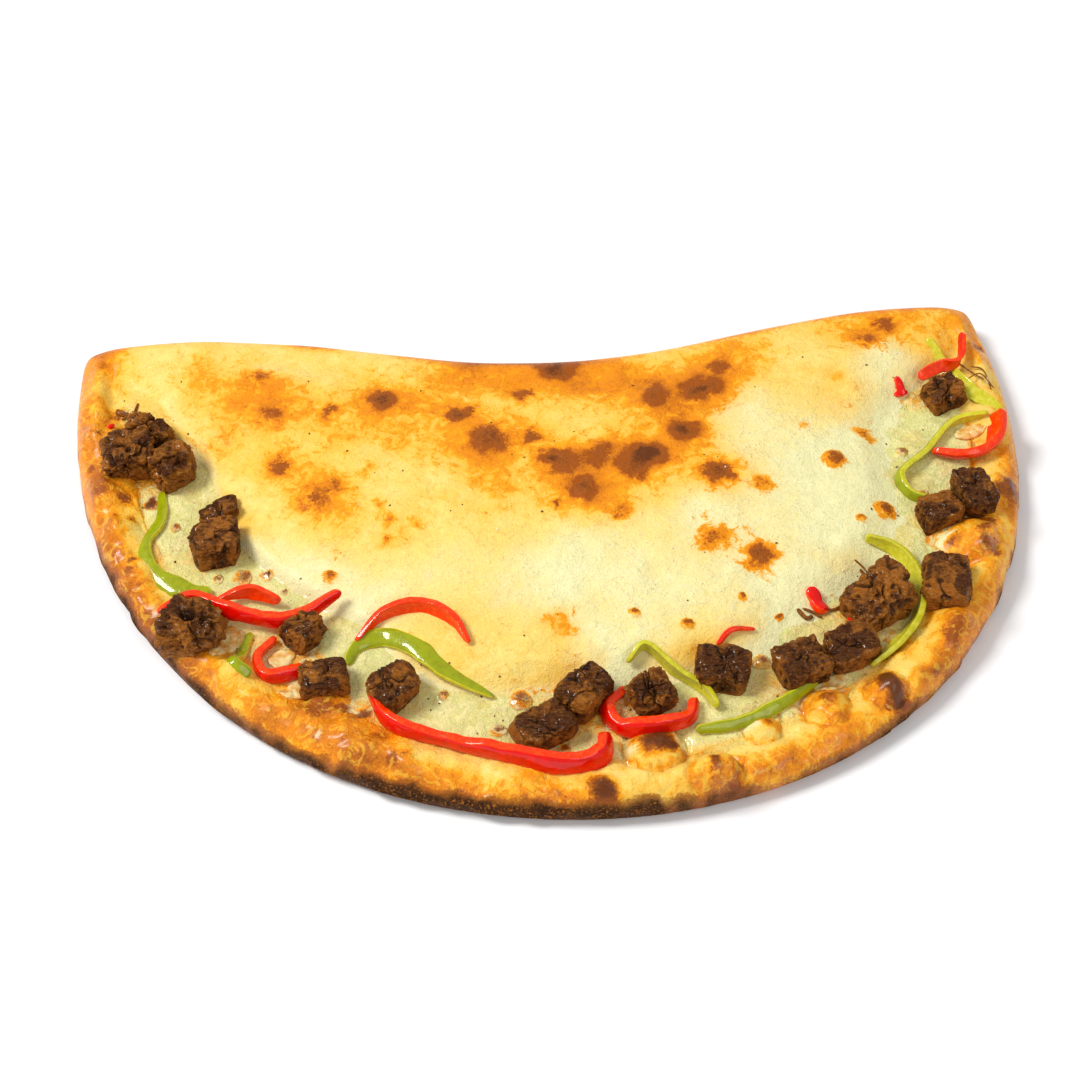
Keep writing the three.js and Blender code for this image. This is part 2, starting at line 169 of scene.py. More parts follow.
# Milky patches where the cheese below shows through the flap: x, y, radius, strength.
MILKY = [
    (-94, 27, 16, 0.8), (62, -14, 22, 0.5), (87, -38, 24, 0.9), (97, -61, 20, 0.9), (44, -57, 16, 0.6),
    (9, -72, 22, 0.7), (12, -109, 14, 0.8), (-90, -80, 20, 0.8), (-107, -65, 14, 0.6), (-44, -72, 16, 0.4),
    (-12, -83, 20, 0.6), (115, 15, 14, 0.7), (120, -9, 16, 0.8), (111, -35, 18, 0.9), (34, -90, 18, 0.6),
    (62, -75, 20, 0.6), (-66, -84, 16, 0.6), (74, -95, 18, 0.8),
]


# ---------------------------------------------------------------- plan and heights


def smoothstep(value, low, high):
    """0 below low, 1 above high, and a smooth cubic between."""
    t = np.clip((value - low) / (high - low), 0, 1)
    return t * t * (3 - 2 * t)


def bell(value, middle, width):
    """exp(-((value - middle) / width)^2): 1 at the middle, near 0 two widths away."""
    return np.exp(-(((value - middle) / width) ** 2))


def mix(a, b, share):
    return a + (b - a) * share


def soft_min(a, b, softness):
    """The smaller of two values, with the corner between them rounded."""
    low = np.minimum(a, b)
    return low - softness * np.log(np.exp((low - a) / softness) + np.exp((low - b) / softness))


def soft_max(a, b, softness):
    return -soft_min(-a, -b, softness)


def turn(x, y):
    """Angle about the rim's centre in radians, 0 at the front and growing to the right."""
    return np.arctan2(x, -y)


def rim_radius(a):
    return RADIUS - 5.4 * np.sin(a) + 5.2 * np.sin(2 * a) - 1.4 * np.cos(4 * a)


def fold_line(x):
    return FOLD_OFFSET - FOLD_WAVE * np.cos(2 * math.pi * x / FOLD_WAVE_LENGTH)


def inset(x, y):
    """Distance in from the whole outline: the softer minimum of the distances from rim and fold."""
    return soft_min(rim_radius(turn(x, y)) - np.hypot(x, y), fold_line(x) - y, CORNER)


def fold_share(x, y):
    """0 along the rim and 1 along the fold."""
    return smoothstep(rim_radius(turn(x, y)) - np.hypot(x, y) - (fold_line(x) - y), -12, 12)


def flap_span(a):
    """1 round the front, where the strip is open, and 0 towards the two corners, where the flap shuts it."""
    return 1 - smoothstep(np.abs(a), math.radians(80), math.radians(106))


def flap_inset(x, y):
    """Distance in from the flap's edge, negative in the open strip."""
    a = turn(x, y)
    edge = (FLAP_INSET + 3 * np.sin(5 * a - 0.6) + 2.5 * np.cos(9 * a)) * flap_span(a)
    return rim_radius(a) - np.hypot(x, y) - edge


def flap_height(x, y):
    from_edge = np.maximum(flap_inset(x, y), 0)
    from_fold = np.maximum(fold_line(x) - y - RIM_CREST, 0)
    front = FLAP_EDGE_HEIGHT + FLAP_RISE * (1 - np.exp(-from_edge / FLAP_RISE_LENGTH))
    back = FOLD_HEIGHT + MIDDLE_RISE * (1 - np.exp(-from_fold / MIDDLE_RISE_LENGTH))
    return soft_min(front, back, 1.0)


def hashed(i, j, k, seed):
    """A value from -1 to 1 for each whole-number grid point, by mixing the bits of its three indices."""
    h = (i * 374761393 + j * 668265263 + k * 1274126177 + seed * 974634777) & 0xFFFFFFFF
    h = ((h ^ (h >> 13)) * 1103515245) & 0xFFFFFFFF
    h = ((h ^ (h >> 15)) * 2246822519) & 0xFFFFFFFF
    return ((h ^ (h >> 16)) & 0xFFFF) / 32767.5 - 1


def noise(x, y, z, size, seed, octaves=1):
    """Smooth noise: hashed values at the corners of cells of one size, blended by quintic weights.

    Each further octave has half the size and half the height.
    """
    total = 0.0
    for octave in range(octaves):
        scale = 2.0**octave / size
        cells, weights = [], []
        for value in (x, y, z):
            scaled = np.asarray(value, dtype=float) * scale + 100.37
            whole = np.floor(scaled)
            part = scaled - whole
            cells.append(whole.astype(np.int64))
            weights.append(part**3 * (part * (part * 6 - 15) + 10))
        for corner in range(8):
            bits = [corner & 1, (corner >> 1) & 1, (corner >> 2) & 1]
            weight = 0.5**octave
            for bit, share in zip(bits, weights):
                weight = weight * (share if bit else 1 - share)
            total = total + weight * hashed(*(c + b for c, b in zip(cells, bits)), seed + octave)
    return total


def domes(x, y, table, sharpness=2.0):
    """Sum of round hills, each (1 - distance^2 / radius^2)^sharpness inside its radius, times its height."""
    total = np.zeros_like(x)
    for cx, cy, radius, height in table:
        near = np.clip(1 - ((x - cx) ** 2 + (y - cy) ** 2) / radius**2, 0, None)
        total += height * near**sharpness
    return total


def from_polar(table):
    """Turns rows that start with degrees and distance from the rim's edge into rows that start with x and y."""
    rows = []
    for degrees, depth, *rest in table:
        a = math.radians(degrees)
        radius = rim_radius(a) - depth
        rows.append((radius * math.sin(a), -radius * math.cos(a), *rest))
    return rows


def warped(x, y, size, amount, seed):
    """Moves plan points by noise, so that round shapes evaluated there turn ragged."""
    return x + amount * noise(x, y, 0, size, seed, 2), y + amount * noise(x, y, 0, size, seed + 7, 2)


def patches(x, y, table):
    """Sum of soft patches exp(-distance^2 / radius^2), each times its strength."""
    return sum(s * np.exp(-((x - cx) ** 2 + (y - cy) ** 2) / r**2) for cx, cy, r, s in table)


def outlines(x, y, table, width):
    """Sum of thin rings exp(-((distance / radius - 1) / width)^2)."""
    return sum(bell(np.hypot(x - cx, y - cy) / r, 1, width) for cx, cy, r in table)


def rim_width(a):
    """Width of the rim's slope: wider at the left front and beside the blisters."""
    return RIM_WIDTH + 5 * bell(a, -0.56, 0.16) + 2 * bell(a, 1.1, 0.1)


def crust_height(x, y):
    """Upper face of the dough.

    A quarter round up to the rim's crest, then down into the basin, then a soft step up to the flap;
    lumps, folds and blisters ride on the rim, and shallow swells and small domes on the flap.
    """
    depth = inset(x, y)
    share = fold_share(x, y)
    a = turn(x, y)
    equator = mix(RIM_EQUATOR, FOLD_EQUATOR, share)
    rim = RIM_HEIGHT + 1.1 * np.sin(7 * a + 0.5) + 0.7 * np.sin(13 * a) + 1.2 * noise(x, y, 0, 17, 3)
    crest = mix(rim, FOLD_HEIGHT + 0.8 * noise(x, y, 0, 24, 4), share)
    across = 1 - np.clip(depth / RIM_CREST, 0, 1)
    ring = equator + (crest - equator) * np.sqrt(1 - across**2)
    lip = mix(3.0, 12.0, smoothstep(a, -0.9, 0.2))
    lip = mix(lip, 12.0, 1 - smoothstep(a, -1.75, -1.45))
    step = smoothstep(flap_inset(x, y) + 1.5 * noise(x, y, 0, 11, 8), -lip, lip)
    inner = mix(BASIN, flap_height(x, y), step)
    width = mix(rim_width(a), RIM_WIDTH + 4, share) + 3.0 * noise(x, y, 0, 19, 5, 2) * (1 - share)
    base = ring + (inner - crest) * smoothstep(depth, RIM_CREST - 1, width)
    on_rim = smoothstep(depth, 0.3, 4) * (1 - smoothstep(depth, 15, 24)) * (1 - share)
    on_flap = smoothstep(depth, 2, 14) * step
    lumps = 1.5 * noise(x, y, 0, 8, 11, 2) + 0.5 * noise(x, y, 0, 2.6, 12, 2)
    folds = 1.1 * noise(40 * a, depth * 0.5, 0, 5, 13)
    swells = 1.2 * noise(x, y, 0, 34, 21) + 0.6 * noise(x, y, 0, 11, 22, 2) + 0.16 * noise(x, y, 0, 2.6, 23)
    spots = domes(x, y, [(cx, cy, 1.6 * r, 0.35) for cx, cy, r, _ in SCORCHES])
    bubbles = domes(x, y, [(cx, cy, 1.2 * r, 0.5 + 0.3 * r) for cx, cy, r in BUBBLES], 1.2)
    blisters = np.zeros_like(x)
    wx, wy = warped(x, y, 5, 0.8, 14)
    for cx, cy, radius, height, steepness in from_polar(BLISTERS):
        blisters += domes(wx, wy, [(cx, cy, radius, height)], steepness)
        around = np.hypot(wx - cx, wy - cy) / radius
        blisters -= 0.3 * height * bell(around, 1.08, 0.13) * (steepness < 1)
    turned_in = smoothstep(np.abs(np.degrees(a)), 84, 94) * (1 - smoothstep(share, 0.2, 0.7))
    fold_in = depth + 1.5 * noise(x, y, 0, 14, 15)
    hem = turned_in * (1.8 * bell(fold_in, 7.5, 2.6) - 1.2 * bell(fold_in, 11.5, 1.4))
    relief = on_rim * (lumps + folds) + blisters * smoothstep(depth, 0.3, 3) + hem
    return base + relief + on_flap * (swells + spots) + bubbles * step


def cheese_height(x, y):
    """Melted cheese: an uneven level that climbs a little where it meets the dough, with small domes."""
    level = CHEESE_LEVEL + 0.8 * noise(x, y, 0, 12, 31)
    level = level + 0.7 * noise(x, y, 0, 5, 32) + 0.2 * noise(x, y, 0, 2.2, 33)
    level = level + domes(x, y, [(cx, cy, 1.2 * r, 0.6 + 0.3 * r) for cx, cy, r in BUBBLES], 1.2)
    return soft_max(level, crust_height(x, y) - 0.6, 0.6)


def bed_height(x, y):
    """Level of the food's upper face, whichever of dough and cheese is higher."""
    open_strip = smoothstep(inset(x, y), 12, 16)
    return np.maximum(crust_height(x, y), cheese_height(x, y) * open_strip)


def reach(rays, measure, value):
    """Distance along each ray from the hub at which a falling measure reaches a value, by halving."""
    near = np.zeros(len(rays))
    far = np.full(len(rays), 2 * RADIUS)
    for _ in range(34):
        middle = (near + far) / 2
        inside = measure(HUB[0] + middle * rays[:, 0], HUB[1] + middle * rays[:, 1]) > value
        near, far = np.where(inside, middle, near), np.where(inside, far, middle)
    return near


def hub_rays(count):
    """Unit directions around the hub, closer together towards the two corners."""
    even = np.arange(count) * 2 * math.pi / count
    angle = even - 0.12 * np.sin(3 * even)
    return np.column_stack([np.sin(angle), -np.cos(angle)])


def plan_to_frame():
    """Shift from the rim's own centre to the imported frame: the dough's box centre less its outline's centre."""
    rays = hub_rays(84)
    outline = HUB + reach(rays, inset, 0)[:, None] * rays
    low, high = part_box("dough")
    centre = np.array([low[0] + high[0], low[1] + high[1]]) / 2 / MM
    return centre - (outline.min(axis=0) + outline.max(axis=0)) / 2


HOME = plan_to_frame()


# ---------------------------------------------------------------- mesh helpers


def add_piece(name, points, faces, attributes):
    """Puts points (in millimetres about the rim's centre) and faces into a smooth mesh piece."""
    placed = (points + np.array([HOME[0], HOME[1], 0.0])) * MM
    mesh = bpy.data.meshes.new(name)
    mesh.from_pydata(placed.tolist(), [], faces)
    for key, values in attributes.items():
        layer = mesh.attributes.new(key, "FLOAT", "POINT")
        layer.data.foreach_set("value", np.asarray(values, dtype=np.float32))
    mesh.polygons.foreach_set("use_smooth", np.ones(len(mesh.polygons), dtype=bool))
    mesh.update()
    piece = bpy.data.objects.new(name, mesh)
    bpy.context.scene.collection.objects.link(piece)
    return piece


def closed_rings(rings):
    """Joins rings of points into one closed skin, with a point at the middle of each end.

    Returns the points, the faces, and a function that spreads per-ring values over the same points.
    The skin is turned outwards by the sign of its volume.
    """
    count, around = rings.shape[:2]
    points = np.vstack([rings.reshape(-1, 3), rings[0].mean(axis=0), rings[-1].mean(axis=0)])
    i = np.arange(around)
    j = (i + 1) % around
    start = (np.arange(count - 1) * around)[:, None]
    quads = np.stack([start + i, start + j, start + around + j, start + around + i], axis=-1).reshape(-1, 4)
    last = (count - 1) * around
    ends = np.vstack([
        np.column_stack([np.full(around, count * around), j, i]),
        np.column_stack([np.full(around, count * around + 1), last + i, last + j]),
    ])
    a, b, c, d = (points[quads[:, n]] for n in range(4))
    volume = np.einsum("ij,ij->i", a, np.cross(b, c)).sum() + np.einsum("ij,ij->i", a, np.cross(c, d)).sum()
    if volume < 0:
        quads, ends = quads[:, ::-1], ends[:, ::-1]

    def spread(values):
        values = np.broadcast_to(values, (count, around))
        return np.concatenate([values.ravel(), [values[0].mean(), values[-1].mean()]])

    return points, quads.tolist() + ends.tolist(), spread


def skin_piece(name, rings, layers):
    """A piece of one closed skin over rings of points, with the value of each layer at each point."""
    points, faces, spread = closed_rings(rings)
    return add_piece(name, points, faces, {key: spread(value) for key, value in layers.items()})


def smooth_path(route, spacing):
    """A curve through the points of a route, resampled at an even spacing.

    Each stretch is a cubic whose end slopes come from the neighbouring points, with knots spaced by
    the square root of the chord.
    """
    p = np.asarray(route, dtype=float)
    p = np.vstack([2 * p[0] - p[1], p, 2 * p[-1] - p[-2]])
    gap = np.sqrt(np.linalg.norm(np.diff(p, axis=0), axis=1))[:, None]
    slope = np.diff(p, axis=0) / gap
    joined = (p[2:] - p[:-2]) / (gap[:-1] + gap[1:])
    tangent = slope[:-1] - joined + slope[1:]
    t = np.linspace(0, 1, 24, endpoint=False)[None, :, None]
    p0, p1 = p[1:-2, None], p[2:-1, None]
    m0, m1 = tangent[:-1, None] * gap[1:-1, None], tangent[1:, None] * gap[1:-1, None]
    near = (2 * t**3 - 3 * t**2 + 1) * p0 + (t**3 - 2 * t**2 + t) * m0
    curve = near + (3 * t**2 - 2 * t**3) * p1 + (t**3 - t**2) * m1
    curve = np.vstack([curve.reshape(-1, 3), p[-2]])
    length = np.concatenate([[0], np.cumsum(np.linalg.norm(np.diff(curve, axis=0), axis=1))])
    even = np.linspace(0, length[-1], max(8, int(length[-1] / spacing)))
    return np.column_stack([np.interp(even, length, curve[:, n]) for n in range(3)])


# A band's corners, as the power of its section's sine and cosine, and its ends, as a share of its width.
BAND_CORNER = 0.35
BAND_END = 0.35


def unit(vectors):
    return vectors / np.linalg.norm(vectors, axis=-1, keepdims=True)


def swept_band(
        route, width, thickness, tilts, widths=(0.7, 1, 1, 0.7), bow=0.2, seed=1, around=36, spacing=0.6):
    """A band of one section carried along a route, rounded off over a short end.

    The section is a rounded rectangle, u = w cos^p and v = t sin^p, bowed so that its sides hang back
    from its skin. Tilt, in degrees from start to end, leans the skin towards the right of the way
    along. Widths are shares of the full width at even steps. Returns rings of points and the share of
    skin at each.
    """
    path = smooth_path(route, spacing)
    count = len(path)
    along = np.linspace(0, 1, count)
    tangent = unit(np.gradient(path, axis=0))
    side = unit(np.cross([0, 0, 1.0], tangent))
    up = np.cross(tangent, side)
    tilt = np.radians(np.interp(along, np.linspace(0, 1, len(tilts)), tilts))
    tilt = (tilt + 0.18 * noise(path[:, 0], path[:, 1], path[:, 2], 9, seed + 2))[:, None]
    across = np.cos(tilt) * side + np.sin(tilt) * up
    skin = np.cos(tilt) * up - np.sin(tilt) * side
    theta = np.linspace(0, 2 * math.pi, around, endpoint=False) + 0.02
    u, v = (np.sign(wave) * np.abs(wave) ** BAND_CORNER for wave in (np.cos(theta), np.sin(theta)))
    from_end = np.minimum(along, 1 - along) * np.linalg.norm(np.diff(path, axis=0), axis=1).sum()
    taper = np.sqrt(np.clip(1 - (1 - from_end / (BAND_END * width)).clip(0) ** 2, 0.06, 1))
    shape = np.interp(along, np.linspace(0, 1, len(widths)), widths)
    sway = 1 + 0.16 * noise(path[:, 0], path[:, 1], path[:, 2], 6, seed, 2)
    half_width = (width / 2 * taper * shape * sway)[:, None]
    uneven = 1 + 0.12 * noise(path[:, 0], path[:, 1], 0, 5, seed + 3)
    half_thick = (thickness / 2 * np.sqrt(taper * shape) * uneven)[:, None]
    shift_u = half_width * u
    shift_v = half_thick * v - bow * half_width * u**2
    rings = path[:, None] + shift_u[..., None] * across[:, None] + shift_v[..., None] * skin[:, None]
    grain = 0.06 * noise(rings[..., 0], rings[..., 1], rings[..., 2], 1.8, seed + 5, 2)
    rings = rings + grain[..., None] * skin[:, None]
    return rings, np.broadcast_to(smoothstep(v - np.abs(u), -0.12, 0.08), (count, around))


def on_bed(route, lift):
    """Lays the plan points of a route on the food, lifted by a height."""
    plan = np.asarray(route, dtype=float)
    return np.column_stack([plan, bed_height(plan[:, 0], plan[:, 1]) + lift])


def finish_piece(piece, material, slot, *nodes):
    """Gives a piece its material and its body, and hides the solids that it stands for; its slot is not used."""
    piece.data.materials.append(material)
    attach(piece, "root")
    if nodes:
        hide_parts(*nodes)


# ---------------------------------------------------------------- shader helpers


def tint(code):
    """A linear colour from a hexadecimal screen colour."""
    parts = [int(code[n:n + 2], 16) / 255 for n in (0, 2, 4)]
    return tuple(p / 12.92 if p <= 0.04045 else ((p + 0.055) / 1.055) ** 2.4 for p in parts) + (1.0,)


class Link:
    """A shader socket that takes part in sums: each operator adds a Math node."""

    def __init__(self, recipe, socket):
        self.recipe, self.socket = recipe, socket

    def _math(self, operation, a, b):
        return self.recipe.node("ShaderNodeMath", {"operation": operation}, {0: a, 1: b})

    def __add__(self, other):
        return self._math("ADD", self, other)

    def __radd__(self, other):
        return self._math("ADD", other, self)

    def __sub__(self, other):
        return self._math("SUBTRACT", self, other)

    def __rsub__(self, other):
        return self._math("SUBTRACT", other, self)

    def __mul__(self, other):
        return self._math("MULTIPLY", self, other)

    def __rmul__(self, other):
        return self._math("MULTIPLY", other, self)

    def clamped(self):
        return self.recipe.node("ShaderNodeClamp", {}, {0: self})

    def between(self, low, high):
        """0 at low, 1 at high, smooth between."""
        settings = {"interpolation_type": "SMOOTHSTEP"}
        return self.recipe.node("ShaderNodeMapRange", settings, {0: self, 1: low, 2: high})


class Recipe:
    """A material whose nodes are added one by one, ending in a Principled shader."""

    def __init__(self, name):
        self.material = bpy.data.materials.new(name)
        self.material.use_nodes = True
        self.nodes = self.material.node_tree.nodes
        self.links = self.material.node_tree.links
        self.shader = self.nodes["Principled BSDF"]
        self.place = Link(self, self.nodes.new("ShaderNodeTexCoord").outputs["Object"])

    def node(self, kind, settings, inputs, output=0):
        """Adds one node: its settings first, then values or links for its sockets."""
        node = self.nodes.new(kind)
        for key, value in settings.items():
            if key == "stops":
                self._set_stops(node.color_ramp, value)
            else:
                setattr(node, key, value)
        for key, value in inputs.items():
            self._feed(node.inputs[key], value)
        return Link(self, node.outputs[output])

    def _set_stops(self, ramp, stops):
        while len(ramp.elements) < len(stops):
            ramp.elements.new(0.5)
        for element, (position, colour) in zip(ramp.elements, stops):
            element.position, element.color = position, colour

    def _feed(self, socket, value):
        if isinstance(value, Link):
            self.links.new(value.socket, socket)
        else:
            socket.default_value = value

    def attribute(self, name):
        return self.node("ShaderNodeAttribute", {"attribute_name": name}, {}, 2)

    def grain(self, size, detail=2.0, stretch=(1, 1, 1), distortion=0.0, roughness=0.55):
        """Noise from 0 to 1 whose features are about one size, in millimetres."""
        scaled = self.node("ShaderNodeMapping", {}, {0: self.place, "Scale": stretch})
        values = {"Vector": scaled, "Scale": 1 / (size * MM), "Detail": detail, "Distortion": distortion}
        return self.node("ShaderNodeTexNoise", {}, {**values, "Roughness": roughness})

    def cells(self, size):
        return self.node("ShaderNodeTexVoronoi", {}, {"Vector": self.place, "Scale": 1 / (size * MM)})

    def ramp(self, factor, stops):
        return self.node("ShaderNodeValToRGB", {"stops": stops}, {0: factor})

    def blend(self, share, a, b):
        return self.node("ShaderNodeMix", {"data_type": "RGBA"}, {0: share, 6: a, 7: b}, 2)

    def bump(self, height, distance):
        """Relief of a height from 0 to 1 that stands for a distance in millimetres."""
        values = {"Height": height, "Distance": distance * MM, "Strength": 1.0}
        self.feed(Normal=self.node("ShaderNodeBump", {}, values))

    def feed(self, **inputs):
        """Sets or links the shader's own sockets, an underscore standing for a space."""
        for key, value in inputs.items():
            self._feed(self.shader.inputs[key.replace("_", " ")], value)


# ---------------------------------------------------------------- sizes and colours


def length_property(label, description, metres):
    return bpy.props.FloatProperty(
        name=label, description=description, default=metres, min=0, subtype="DISTANCE", unit="LENGTH")


def count_property(label, description, count):
    return bpy.props.IntProperty(name=label, description=description, default=count, min=0)


class CalzoneSizes(bpy.types.PropertyGroup):
    grain_count: count_property("Cheese grains", "Loose grains of grated cheese", 60)
    grain_size: length_property("Grain size", "Mean size of a grain of cheese", 0.0007)
    fleck_count: count_property("Herb flecks", "Dark flecks of dried herb", 150)
    fleck_size: length_property("Fleck size", "Mean length of a herb fleck", 0.0008)
    camera_distance: length_property("Camera distance", "From the camera to the food", 0.8368)


def colour_property(label, description, code):
    return bpy.props.FloatVectorProperty(
        name=label, description=description, default=tint(code), size=4, min=0, max=1, subtype="COLOR")


class CalzoneColours(bpy.types.PropertyGroup):
    dough_pale: colour_property("Pale dough", "Flour-pale baked dough", "f6d878")
    dough_light: colour_property("Light dough", "First blush of toast", "f8c44c")
    dough_gold: colour_property("Golden dough", "Lightly toasted dough", "f9a818")
    dough_toast: colour_property("Toasted dough", "Well toasted dough", "ea8a10")
    dough_brown: colour_property("Brown dough", "Deeply baked dough", "a0500e")
    dough_scorch: colour_property("Scorched dough", "Brown spots of the oven's heat", "9e5414")
    # The rim's foot: char, with painted shade where the rim turns under towards the floor.
    dough_char_and_shade: colour_property("Charred dough", "Nearly black edge", "341c0a")
    dough_vein: colour_property("Dough veins", "Faint lighter veins in pale dough", "fbe796")
    # Painted highlight: yellow streaks on the toasted rim that stand for light caught on its ridges.
    dough_streak_highlight: colour_property("Glazed rim", "Glossy yellow streaks on the toasted rim", "ffc83e")
    dough_ember: colour_property("Scorch middle", "Darkest middle of a scorched spot", "522810")
    # Brown band round the char at the rim's foot, partly painted shade.
    dough_singed_and_shaded: colour_property("Singed dough", "Brown band round the char", "8a420c")
    dough_crumbs: colour_property("Char flecks", "Brown flecks in the char", "b06a24")
    flap_milk: colour_property("Milky flap", "Flap where the cheese below shows through", "efe9b0")
    cheese: colour_property("Cheese", "Melted cheese", "e4e092")
    cheese_cream: colour_property("Creamy cheese", "Lighter blotches in the cheese", "fbeea6")
    cheese_oil: colour_property("Oily cheese", "Yellower blotches in the cheese", "e8c256")
    grated: colour_property("Grated cheese", "Loose grains of cheese", "fffbe8")
    grated_shade: colour_property("Grated shade", "Second tone of the loose grains", "f3e8c0")
    beef_dark: colour_property("Roasted beef", "Dark roasted surface", "50280e")
    beef_brown: colour_property("Torn beef", "Brown fibres inside", "aa641e")
    # Lighter fibres: partly the meat's own tone, partly painted highlight on the fibre crests.
    beef_fibre_and_highlight: colour_property("Beef fibre", "Lighter fibres", "b4762e")
    beef_fat: colour_property("Beef fat", "Small pale bits of fat", "e0a860")
    # Painted highlights along the finest threads.
    beef_thread_highlight: colour_property("Beef threads", "Finest light threads", "c08a48")
    # Painted shade in the clefts, pits and torn-open hole of the beef.
    beef_cleft_shade: colour_property("Beef clefts", "Bottoms of clefts and pits", "1c0b03")
    # Painted shade in the grooves between the fibres.
    beef_fibre_gap_shade: colour_property("Fibre gaps", "Dark gaps between the fibres", "2a1204")
    red_skin: colour_property("Red skin", "Skin of the red pepper", "ea0b00")
    red_flesh: colour_property("Red flesh", "Cut flesh of the red pepper", "f43200")
    red_edge: colour_property("Red edge", "Brighter streaks in the red flesh", "ff4c04")
    green_skin: colour_property("Green skin", "Skin of the green pepper", "9aa20a")
    green_flesh: colour_property("Green flesh", "Cut flesh of the green pepper", "c6be1e")
    green_edge: colour_property("Green edge", "Brighter streaks in the green flesh", "d6d040")
    onion: colour_property("Onion", "Softened onion", "dc9428")
    onion_band: colour_property("Onion bands", "Pale bands of the onion", "eed898")
    herb: colour_property("Herb", "Dried herb", "54300c")
    herb_light: colour_property("Light herb", "Second tone of the dried herb", "7a4410")


def paint(name):
    """One of the calzone's colours, as a shader takes it."""
    return tuple(getattr(bpy.context.scene.calzone_colours, name))


# ---------------------------------------------------------------- finishes


# Where each tone of the dough stands as the toast grows from 0 to 1.
DOUGH_TONES = [
    (0.0, "dough_pale"), (0.2, "dough_light"), (0.42, "dough_gold"),
    (0.72, "dough_toast"), (1.0, "dough_brown"),
]


def dough_finish(name, wet=False):
    """Baked dough or cheese, by the amounts of toast, scorch, char with painted shade at the rim's foot, milk and
    rim at each point.

    Noise breaks the edges of every patch, and a ramp runs from pale through gold to brown.
    """
    r = Recipe(name)
    fine, mottled, wide = r.grain(0.9, 3.0), r.grain(4.0, 5.0, distortion=0.8, roughness=0.62), r.grain(14, 3.0)
    veins = r.grain(1.6, 2.0, distortion=2.5)
    base, spot = r.attribute("toast"), r.attribute("scorch")
    speckled = (mottled - 0.5) * 0.6 + (fine - 0.5) * 1.1
    scorch = spot + speckled * (spot * 1.6).clamped()
    flecks = r.grain(4.2, 4.0, distortion=1.0, roughness=0.7).between(0.60, 0.74) * wide.between(0.4, 0.65)
    blotch = (base * 1.25 + (mottled - 0.5) * 1.9 + (fine - 0.5) * 0.3).between(0.36, 0.80)
    toast = base * 0.66 + blotch * 0.26 + (fine - 0.5) * (base * 0.2 + 0.04)
    toast = toast + (wide - 0.5) * 0.5 + (mottled - 0.5) * 0.3
    toast = toast + flecks * (0.10 if wet else 0.34) + scorch * 0.5
    baked = r.ramp(toast.clamped(), [(stop, paint(tone)) for stop, tone in DOUGH_TONES])
    milk = (r.attribute("milk") + (mottled - 0.5) * 0.6 + (wide - 0.5) * 0.7).between(0.15, 1.0)
    pale = paint("cheese") if wet else paint("flap_milk")
    surface = r.blend(milk * (1 - toast.between(0.2, 0.5)), baked, pale)
    untoasted = 1 - toast.between(0.3, 0.6)
    surface = r.blend(veins.between(0.56, 0.72) * untoasted * 0.3, surface, paint("dough_vein"))
    # The toasted rim, where the coat shines and yellow highlights are painted in streaks.
    toasted_rim = r.attribute("rim") * base.between(0.3, 0.55)
    streaks = r.grain(5.5, 3.0, distortion=2.2) * toasted_rim
    if wet:
        surface = r.blend(mottled.between(0.45, 0.58) * milk * 0.8, surface, paint("cheese_cream"))
        surface = r.blend(wide.between(0.5, 0.62) * milk * 0.35, surface, paint("cheese_oil"))
    else:
        # Yellow streaks on the toasted rim: painted highlights.
        surface = r.blend(streaks.between(0.52, 0.62) * 0.45, surface, paint("dough_streak_highlight"))
    brown = r.blend(scorch.between(0.45, 1.05) * 0.85, surface, paint("dough_scorch"))
    dark = r.blend(scorch.between(0.85, 1.5) * 0.8, brown, paint("dough_ember"))
    # The dark band at the rim's foot is char and painted shade: a brown singed band, then a near-black band with
    # brown flecks.
    char_and_shade_ramp = r.attribute("soot") + (mottled - 0.5) * 0.45 + (fine - 0.5) * 0.75
    singed_and_shaded = r.blend(char_and_shade_ramp.between(0.02, 0.45) * 0.75, dark, paint("dough_singed_and_shaded"))
    soot = char_and_shade_ramp.between(0.4, 1.0)
    char_and_shade_colour = r.blend(fine.between(0.48, 0.72) * 0.8, paint("dough_char_and_shade"), paint("dough_crumbs"))
    r.feed(Base_Color=r.blend(soot, singed_and_shaded, char_and_shade_colour))
    pores = r.cells(1.9)
    relief = fine * 0.06 + mottled * 0.8 + pores.between(0.0, 0.35) * 0.06 + veins * 0.35 + streaks * 0.8
    r.bump(relief, 1.8 if wet else 1.0)
    shine = 0.3 if wet else 0.42
    gloss = (mottled.between(0.35, 0.65) * 0.5 + 0.25) * (1 - soot)
    gloss = gloss * 1.3 if wet else gloss * (toasted_rim * 0.5 + 0.16)
    r.feed(Coat_Weight=gloss, Coat_Roughness=0.1 if wet else 0.2)
    r.feed(Roughness=shine + (fine - 0.5) * 0.3 + soot * 0.3, Subsurface_Weight=0.15 if wet else 0.06)
    r.feed(Subsurface_Radius=(1.0, 0.6, 0.25), Subsurface_Scale=0.004, Specular_IOR_Level=0.12)
    return r.material


